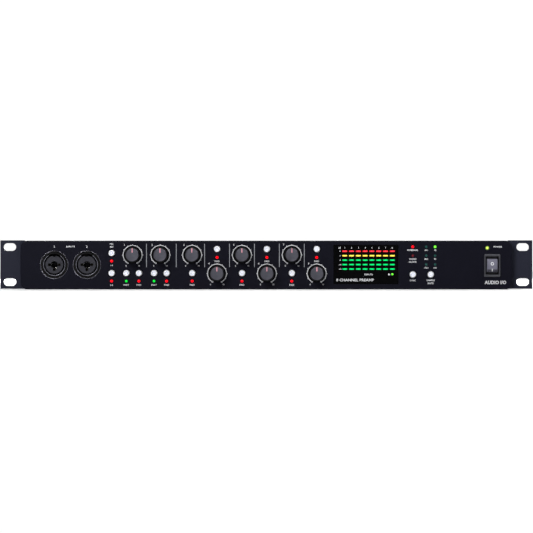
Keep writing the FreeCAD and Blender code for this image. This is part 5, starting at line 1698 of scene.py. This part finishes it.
    def _on_face(self, size: tuple[float, float, float], height: float) -> bmesh.types.BMesh:
        """A raised upright bar that follows the rocker's face.

        Args:
            size: The bar's width, length and height over the face.
            height: The height of its middle over the pivot.

        Returns:
            The bar, in the rocker's own frame.
        """
        width, length, proud = size
        spans = 8
        loops = []
        for n in range(spans + 1):
            level = length * (n / spans - 0.5)
            edge = 0.06 * MM if n in (0, spans) else 0.0
            loops.append(
                [
                    Vector((-width / 2, level, -0.25 * MM)),
                    Vector((width / 2, level, -0.25 * MM)),
                    Vector((width / 2, level, proud - edge - 0.04 * MM)),
                    Vector((width / 2 - 0.08 * MM, level, proud - edge)),
                    Vector((0.08 * MM - width / 2, level, proud - edge)),
                    Vector((-width / 2, level, proud - edge - 0.04 * MM)),
                ]
            )
        return self._follow_face(loft(loops), height)

    def _follow_face(self, mesh: bmesh.types.BMesh, height: float) -> bmesh.types.BMesh:
        """Wraps a flat piece on the rocker's face.

        Args:
            mesh: The piece, flat in the local XY plane.
            height: Where its middle goes, over the pivot.

        Returns:
            The same mesh, in the rocker's own frame.
        """
        for vertex in mesh.verts:
            level = height + vertex.co.y
            vertex.co = Vector((vertex.co.x, self._face_depth(level) - vertex.co.z, level))
        bmesh.ops.recalc_face_normals(mesh, faces=mesh.faces)
        return mesh


@dataclass
class RearConnectors(Assembly):
    """Line outputs, word clock, optical outputs and the mains inlet.

    Attributes:
        flats: Distance across the flats of a jack nut, halved.
        nut_height: Height of a nut.
    """

    flats: float = 6.1 * MM
    nut_height: float = 2.1 * MM

    def build(self) -> None:
        """Dresses the connectors and adds nuts, washers and bush rims."""
        for node in ("line_output_jacks", "mains_inlet", "optical_output_housings"):
            self.dress(node, FINISH.black_plastic)
        for number in (1, 2):
            self.dress(f"optical_flap_{number}", FINISH.shell)
        self.dress("word_clock_socket", FINISH.nickel)
        self.dress("mains_inlet_pins", FINISH.nickel)
        places = [
            Facing.REAR.matrix(Vector((b.centre.x, self.back, b.centre.z)), n * GOLDEN_TURN)
            for n, b in enumerate(self.solids("line_output_nuts"))
        ]
        self.repeat("jack_nuts", self._nut(), places, FINISH.nickel, "nut_metal", ("line_output_nuts",))
        self.repeat("jack_washers", self._washer(), places, FINISH.steel, "nut_metal")
        self.repeat("jack_bush_rims", self._bush(), places, FINISH.nickel, "nut_metal")

    def _hexagon(self, angle: float) -> float:
        """Radius of the nut's outline at an angle."""
        return self.flats / math.cos((angle + math.pi / 6) % (math.pi / 3) - math.pi / 6)

    def _nut(self) -> bmesh.types.BMesh:
        """A hexagon nut with chamfered corners and a threaded bore."""
        base, top, bore = 0.5 * MM, 0.5 * MM + self.nut_height, 4.82 * MM
        steps = 48
        trimmed = self.flats * 1.03
        loops = [
            ring_loop(bore + 0.3 * MM, base, steps),
            ring_loop(self._hexagon, base, steps),
            ring_loop(self._hexagon, top - 0.45 * MM, steps),
            ring_loop(lambda a: min(self._hexagon(a), trimmed), top - 0.15 * MM, steps),
            ring_loop(self.flats * 0.97, top, steps),
            ring_loop(bore + 0.3 * MM, top, steps),
        ]
        for n in range(4):
            level = top - 0.2 * MM - n * 0.45 * MM
            loops.append(ring_loop(bore, level, steps))
            loops.append(ring_loop(bore + 0.18 * MM, level - 0.22 * MM, steps))
        return loft(loops, closed=True)

    def _washer(self) -> bmesh.types.BMesh:
        """The flat washer under a nut."""
        section = [(4.85 * MM, 0.02 * MM), (4.85 * MM, 0.48 * MM), (7.1 * MM, 0.48 * MM)]
        section += [(7.3 * MM, 0.36 * MM), (7.3 * MM, 0.02 * MM)]
        return lathe(section, 56, closed=True)

    def _bush(self) -> bmesh.types.BMesh:
        """The threaded metal bush that the nut grips."""
        inner, outer, end = 3.26 * MM, 4.77 * MM, 4.0 * MM
        section = [(inner, -1.0 * MM), (inner, end - 0.4 * MM), (inner + 0.4 * MM, end)]
        section += [(outer - 0.3 * MM, end)]
        for n in range(8):
            level = end - 0.15 * MM - n * 0.42 * MM
            section.append((outer, level))
            section.append((outer - 0.16 * MM, level - 0.21 * MM))
        section += [(outer - 0.16 * MM, -1.0 * MM)]
        return lathe(section, 48, closed=True)


@dataclass
class Innards(Assembly):
    """Boards, supply and wiring inside the case."""

    def build(self) -> None:
        """Dresses every inner CAD node."""
        finishes = {
            "main_board": FINISH.board,
            "control_board": FINISH.board,
            "power_supply_board": FINISH.board,
            "gain_pots": FINISH.steel,
            "button_switches": FINISH.black_plastic,
            "power_transformer": FINISH.iron,
            "board_standoffs": FINISH.brass,
            "ribbon_cable": FINISH.ribbon,
            "mains_leads": FINISH.wire,
        }
        for node, finish in finishes.items():
            self.dress(node, finish)


@dataclass(frozen=True)
class Label:
    """One word printed on a panel.

    Attributes:
        text: The word.
        across: Its middle, to the right as seen from outside the panel.
        up: The middle of its height.
        height: Its cap height.
        width: Its width, or None for the letters' own.
    """

    text: str
    across: float
    up: float
    height: float = 1.45 * MM
    width: float | None = None


@dataclass
class Printing(Assembly):
    """Everything screen-printed: words, dial rings and separator lines.

    Attributes:
        thickness: Thickness of the ink.
        sunk: How far the ink goes below the surface.
        dial_radius: Radius of a dial's ring.
        dial_sweep: Sweep of the ring, in degrees.
    """

    thickness: float = 0.04 * MM
    sunk: float = 0.02 * MM
    dial_radius: float = 8.55 * MM
    dial_sweep: float = 302.0
    drawn: dict = field(default_factory=dict)

    def build(self) -> None:
        """Prints the front and the rear panel."""
        self._words("front_lettering", self._front_labels(), Facing.FRONT, self.face)
        self._words("rear_lettering", self._rear_labels(), Facing.REAR, self.back)
        self._dials()
        self._separators()
        self._padlock()

    def _word(self, label: Label) -> bmesh.types.BMesh:
        """Draws one word about the local origin.

        Args:
            label: The word.

        Returns:
            The word as a thin solid.
        """
        curve = bpy.data.curves.new("word", "FONT")
        curve.body = label.text
        curve.align_x, curve.align_y = "CENTER", "CENTER"
        curve.resolution_u = 2
        curve.offset = 0.018
        curve.extrude = 0.5
        drawn = bpy.data.objects.new("word", curve)
        bpy.context.scene.collection.objects.link(drawn)
        shown = drawn.evaluated_get(bpy.context.evaluated_depsgraph_get())
        data = bpy.data.meshes.new_from_object(shown)
        mesh = bmesh.new()
        mesh.from_mesh(data)
        bpy.data.objects.remove(drawn)
        bpy.data.meshes.remove(data)
        low = Vector(min(v.co[i] for v in mesh.verts) for i in range(3))
        high = Vector(max(v.co[i] for v in mesh.verts) for i in range(3))
        tall = label.height / (high.y - low.y)
        wide = tall if label.width is None else label.width / (high.x - low.x)
        deep = (self.thickness + self.sunk) / (high.z - low.z)
        middle = (low + high) / 2
        mesh.transform(Matrix.Translation(-middle))
        mesh.transform(Matrix.Diagonal((wide, tall, deep, 1.0)))
        bmesh.ops.remove_doubles(mesh, verts=mesh.verts, dist=0.0005 * MM)
        return mesh

    def _words(self, name: str, labels: Sequence[Label], facing: Facing, depth: float) -> None:
        """Prints words on a panel, as one piece.

        Args:
            name: The piece's name.
            labels: The words.
            facing: The panel's facing.
            depth: Y of the panel's face.
        """
        side = -1 if facing is Facing.REAR else 1
        words = []
        for number, label in enumerate(labels):
            seat = Vector((side * label.across, depth, label.up))
            lift = Matrix.Translation((0.0, 0.0, (self.thickness - self.sunk) / 2))
            words.append(to_object(f"word_{number}", self._word(label), facing.matrix(seat) @ lift))
        self.publish(join(name, words), FINISH.ink, "button_plastic")

    def _front_labels(self) -> list[Label]:
        """The words of the front panel, placed from the pieces that they name."""
        labels = []
        sockets = [box.centre for box in self.solids("front_input_shells")]
        over = sockets[0].z + 16.4 * MM
        for number, middle in enumerate(sockets, start=1):
            labels.append(Label(str(number), middle.x, over, 1.9 * MM))
        labels.append(Label("INPUTS", (sockets[0].x + sockets[1].x) / 2, over, 1.5 * MM, 7.7 * MM))
        labels += self._phantom_labels() + self._knob_labels() + self._light_labels()
        labels += self._clock_labels() + self._window_labels() + self._power_labels()
        return labels

    def _phantom_labels(self) -> list[Label]:
        """Words of the microphone power column."""
        upper = node_box("phantom_button_upper").centre
        lower = node_box("phantom_button_lower").centre
        return [
            Label("MIC", upper.x, upper.z + 8.2 * MM, 1.4 * MM),
            Label("48V", upper.x, upper.z + 5.6 * MM, 1.5 * MM),
            Label("1-4", upper.x, lower.z + 7.1 * MM, 1.4 * MM),
            Label("5-8", lower.x, lower.z - 10.9 * MM, 1.4 * MM),
        ]

    def _knob_labels(self) -> list[Label]:
        """Channel numbers and dial ends."""
        labels = []
        for number, (_, place) in enumerate(self.joint_places("_turn"), start=1):
            labels.append(Label(str(number), place.x - 7.4 * MM, place.z + 9.1 * MM, 1.7 * MM))
            labels.append(Label("0", place.x - 5.9 * MM, place.z - 9.9 * MM, 1.4 * MM))
            labels.append(Label("10", place.x + 5.9 * MM, place.z - 9.9 * MM, 1.4 * MM))
        return labels

    def _light_labels(self) -> list[Label]:
        """The words under the instrument and pad lights."""
        labels = []
        edge = node_box("display_window").low.x
        phantom = node_box("phantom_button_upper").high.x
        for word, node, width in (("INST", "green_led_lenses", 5.0), ("PAD", "red_led_lenses", 4.3)):
            for box in self.solids(node):
                if phantom < box.centre.x < edge:
                    drop = box.centre.z - 3.45 * MM
                    labels.append(Label(word, box.centre.x, drop, 1.45 * MM, width * MM))
        return labels

    def _clock_labels(self) -> list[Label]:
        """Words of the clock source and sample rate sections."""
        edge = node_box("display_window").high.x
        sources = [box.centre for box in self.solids("red_led_lenses") if box.centre.x > edge]
        upper, lower = max(sources, key=lambda c: c.z), min(sources, key=lambda c: c.z)
        sync = node_box("clock_source_button").centre
        rate = node_box("sample_rate_button").centre
        labels = [
            Label("INTERNAL", upper.x, upper.z - 3.0 * MM, 1.5 * MM, 9.8 * MM),
            Label("WORD", lower.x, lower.z - 3.1 * MM, 1.5 * MM, 6.6 * MM),
            Label("CLOCK", lower.x, lower.z - 5.7 * MM, 1.5 * MM, 7.2 * MM),
            Label("SYNC", sync.x, sync.z - 5.4 * MM, 1.5 * MM, 5.4 * MM),
            Label("SAMPLE", rate.x, rate.z - 5.3 * MM, 1.5 * MM, 7.4 * MM),
            Label("RATE", rate.x, rate.z - 8.0 * MM, 1.5 * MM, 5.2 * MM),
        ]
        lights = [box.centre for box in self.solids("green_led_lenses") if box.centre.x > edge]
        columns = (("44.1", "88.2", "176.4"), ("48", "96", "192"))
        for column, words in enumerate(columns):
            side = sorted(lights, key=lambda c: c.x)[column * 3 : column * 3 + 3]
            for word, middle in zip(words, sorted(side, key=lambda c: -c.z)):
                labels.append(Label(word, middle.x, middle.z - 3.05 * MM, 1.4 * MM))
        return labels

    def _window_labels(self) -> list[Label]:
        """Words on the display window."""
        window = node_box("display_window")
        rows = [self.solids(f"meter_lights_{colour}") for colour in ("red", "yellow", "green")]
        tops = [rows[0][0].centre.z, rows[1][0].centre.z]
        tops += sorted({round(b.centre.z, 4) for b in rows[2] if b.size.x > 3 * MM}, reverse=True)
        edge = min(box.low.x for box in rows[0]) - 2.0 * MM
        labels = [
            Label(text, edge, height, 1.3 * MM) for text, height in zip(("0", "-3", "-6", "-18", "-42"), tops)
        ]
        over = tops[0] + 3.1 * MM
        labels.append(Label("dB", edge - 0.4 * MM, over, 1.4 * MM))
        for number, box in enumerate(rows[0], start=1):
            labels.append(Label(str(number), box.centre.x, over, 1.5 * MM))
        middle = (rows[0][0].centre.x + rows[0][-1].centre.x) / 2
        labels.append(Label("INPUTS", middle, tops[-1] - 4.9 * MM, 1.35 * MM, 7.4 * MM))
        labels.append(Label("8 CHANNEL PREAMP", window.low.x + 20.5 * MM, window.low.z + 4.7 * MM, 2.4 * MM, 34 * MM))
        return labels

    def _power_labels(self) -> list[Label]:
        """Words beside the power light and under the switch."""
        light = node_box("power_led_lens").centre
        switch = node_box("power_switch_housing")
        return [
            Label("POWER", light.x + 9.6 * MM, light.z + 1.0 * MM, 1.5 * MM, 7.6 * MM),
            Label("AUDIO I/O", switch.centre.x + 2.9 * MM, switch.low.z - 5.0 * MM, 3.2 * MM, 19.5 * MM),
        ]

    def _rear_labels(self) -> list[Label]:
        """The words of the rear panel, placed from the connectors."""
        labels = []
        high = 39.4 * MM
        for number, box in enumerate(sorted(self.solids("rear_input_shells"), key=lambda b: -b.centre.x)):
            labels.append(Label(f"INPUT {number + 3}", -box.centre.x, high, 1.7 * MM))
        nuts = sorted(self.solids("line_output_nuts"), key=lambda b: -b.centre.x)
        for number, box in enumerate(nuts, start=1):
            labels.append(Label(str(number), -box.centre.x, box.high.z + 3.4 * MM, 2.0 * MM))
        middle = (nuts[0].centre.x + nuts[-1].centre.x) / 2
        labels.append(Label("LINE OUTPUTS", -middle, nuts[0].high.z + 8.4 * MM, 2.0 * MM))
        clock = node_box("word_clock_socket")
        labels.append(Label("WORD CLOCK", -clock.centre.x, clock.high.z + 3.6 * MM, 1.7 * MM))
        for number in (1, 2):
            port = node_box(f"optical_flap_{number}")
            labels.append(Label(str(number), -port.centre.x, port.high.z + 4.4 * MM, 1.8 * MM))
        ports = [node_box(f"optical_flap_{number}").centre.x for number in (1, 2)]
        labels.append(Label("OPTICAL OUT", -sum(ports) / 2, clock.high.z + 8.4 * MM, 1.7 * MM))
        inlet = node_box("mains_inlet")
        labels.append(Label("MAINS IN", -inlet.centre.x, inlet.high.z + 3.4 * MM, 1.8 * MM))
        return labels

    def _dials(self) -> None:
        """Prints the scale round each knob."""
        places = [
            Facing.FRONT.matrix(Vector((place.x, self.face, place.z)))
            for _, place in self.joint_places("_turn")
        ]
        values = {
            "Radius": self.dial_radius,
            "Width": 0.66 * MM,
            "Thickness": self.thickness * 2,
            "Start": math.radians(90 - self.dial_sweep / 2),
            "Sweep": math.radians(self.dial_sweep),
            "Tick Length": 1.0 * MM,
            "Dot Radius": 0.72 * MM,
            "Ticks": 11,
        }
        rings = dial_recipe().run("dial_rings", places, values, FINISH.ink)
        self.publish(rings, None, "button_plastic")

    def _separators(self) -> None:
        """Prints the upright lines between the channels."""
        knobs = [place.x for _, place in self.joint_places("_turn")]
        low, high = 20.1 * MM, 41.3 * MM
        layers = [
            (0.6 * MM, high - low, 0.1 * MM, -self.sunk),
            (0.6 * MM, high - low, 0.1 * MM, self.thickness),
        ]
        places = [
            Facing.FRONT.matrix(Vector(((left + right) / 2, self.face, (low + high) / 2)))
            for left, right in zip(knobs, knobs[1:])
        ]
        self.repeat("channel_separators", slab(layers), places, FINISH.grey_ink, "button_plastic")

    def _padlock(self) -> None:
        """Prints the small padlock beside the lock light."""
        greens = self.solids("meter_lights_green")
        light = max(greens, key=lambda box: box.size.z / box.size.x).centre
        place = Facing.FRONT.matrix(Vector((light.x - 3.0 * MM, self.face, light.z)))
        body = [(1.5 * MM, 1.2 * MM, 0.2 * MM, -self.sunk), (1.5 * MM, 1.2 * MM, 0.2 * MM, self.thickness)]
        lower = slab(body)
        lower.transform(Matrix.Translation((0.0, -0.35 * MM, 0.0)))
        section = [
            (0.40 * MM, -self.sunk), (0.40 * MM, self.thickness),
            (0.62 * MM, self.thickness), (0.62 * MM, -self.sunk),
        ]
        shackle = part_lathe(section, 0, 180, 12)
        shackle.transform(Matrix.Translation((0.0, 0.2 * MM, 0.0)))
        parts = [to_object("lock_body", lower, place), to_object("lock_shackle", shackle, place)]
        self.publish(join("padlock_mark", parts), FINISH.ink, "button_plastic")


@dataclass
class Studio:
    """Camera, lights, world and floor.

    Attributes:
        distance: From the ears to the camera.
        span: Width of the view at the ears.
        aim: Height that the camera looks at.
    """

    distance: float = 3.5
    span: float = 0.4835
    aim: float = 0.0207
    sensor: float = 36.0

    def build(self) -> None:
        """Sets up everything that isn't the object."""
        bpy.context.scene.view_settings.view_transform = "Standard"
        self._camera()
        self._floor()
        self._world()
        self._light("over", (0.0, -0.2, 1.6), (0.0, -0.05, 0.0), (1.4, 0.4), 6.0)
        self._light("key", (1.25, -0.55, 1.25), (0.0, -0.1, 0.0), (0.6, 0.6), 9.0)
        self._light("front", (-0.9, -2.3, 1.35), (0.0, -0.1, 0.0), (1.2, 0.9), 54.0)
        self._light("behind", (0.2, 2.5, 0.5), (0.0, 0.1, 0.0), (2.2, 0.5), 110.0)

    def _camera(self) -> None:
        """A long lens, level with the middle of the view."""
        data = bpy.data.cameras.new("camera")
        data.sensor_width = self.sensor
        data.lens = self.sensor * self.distance / self.span
        data.clip_end = 50.0
        camera = bpy.data.objects.new("camera", data)
        camera.location = (0.0002, node_box("rack_ear_left").low.y - self.distance, self.aim)
        camera.rotation_euler = (math.pi / 2, 0.0, 0.0)
        bpy.context.scene.collection.objects.link(camera)
        bpy.context.scene.camera = camera

    def _floor(self) -> None:
        """A pale floor that the unit stands on."""
        mesh = bmesh.new()
        bmesh.ops.create_grid(mesh, x_segments=1, y_segments=1, size=12.0)
        floor = to_object("floor", mesh)
        floor.data.materials.append(self._floor_paint())

    def _floor_paint(self) -> bpy.types.Material:
        """Matt white with a painted glow (emission) that is nil near the unit and grows away from it, so the floor
        round the unit stays dimmer.
        """
        made = bpy.data.materials.new("studio_floor_white")
        made.use_nodes = True
        made.node_tree.nodes.clear()
        graph = Graph(made.node_tree)
        place = graph.add("ShaderNodeTexCoord").outputs["Object"]
        away = graph.add("ShaderNodeVectorMath", {0: place}, operation="LENGTH").outputs["Value"]
        # Painted glow: emission strength rises with distance from the unit, from none within 0.4 m to 0.8 at 1.8 m.
        painted_floor_glow = graph.add(
            "ShaderNodeMapRange",
            {"Value": away, "From Min": 0.4, "From Max": 1.8, "To Min": 0.0, "To Max": 0.80},
        ).outputs[0]
        grain = graph.add("ShaderNodeTexNoise", {"Vector": place, "Scale": 900.0, "Detail": 3.0}).outputs[0]
        colour = graph.blend(grain, opaque((0.89, 0.89, 0.89)), opaque((0.91, 0.91, 0.91)))
        shader = graph.add(
            "ShaderNodeBsdfPrincipled",
            {
                "Base Color": colour,
                "Roughness": graph.remap(grain, 0.75, 0.85),
                "Specular IOR Level": 0.1,
                "Emission Color": colour,
                "Emission Strength": painted_floor_glow,
            },
        )
        graph.add("ShaderNodeOutputMaterial", {"Surface": shader.outputs[0]})
        return made

    def _world(self) -> None:
        """White behind the object, softer grey as a light source."""
        world = bpy.data.worlds.new("studio")
        world.use_nodes = True
        world.node_tree.nodes.clear()
        graph = Graph(world.node_tree)
        seen = graph.add("ShaderNodeBackground", {"Color": (1.0, 1.0, 1.0, 1.0), "Strength": 1.02})
        lit = graph.add("ShaderNodeBackground", {"Color": (0.90, 0.93, 1.0, 1.0), "Strength": 0.09})
        direct = graph.add("ShaderNodeLightPath").outputs["Is Camera Ray"]
        mixed = graph.add("ShaderNodeMixShader", {0: direct, 1: lit.outputs[0], 2: seen.outputs[0]})
        graph.add("ShaderNodeOutputWorld", {"Surface": mixed.outputs[0]})
        bpy.context.scene.world = world

    def _light(
        self,
        name: str,
        where: tuple[float, float, float],
        target: tuple[float, float, float],
        size: tuple[float, float],
        power: float,
    ) -> None:
        """A soft rectangular light.

        Args:
            name: The light's name.
            where: Its place.
            target: What it points at.
            size: Its width and height.
            power: Its power in watts.
        """
        data = bpy.data.lights.new(name, "AREA")
        data.shape = "RECTANGLE"
        data.size, data.size_y = size
        data.energy = power
        light = bpy.data.objects.new(name, data)
        light.location = where
        light.rotation_euler = (Vector(target) - Vector(where)).to_track_quat("-Z", "Y").to_euler()
        bpy.context.scene.collection.objects.link(light)


def main() -> None:
    """Builds every sub-assembly round the frame."""
    logging.basicConfig(level=logging.INFO, format="%(name)s %(message)s")
    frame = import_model()
    copies = copies_recipe()
    for kind in (
        CaseWork,
        InputSockets,
        GainKnobs,
        PushButtons,
        Indicators,
        LevelMeter,
        PowerSwitch,
        RearConnectors,
        Innards,
        Printing,
    ):
        kind(frame, copies).build()
        LOG.info("%s done", kind.__name__)
    Studio().build()


if __name__ == "__main__":
    main()
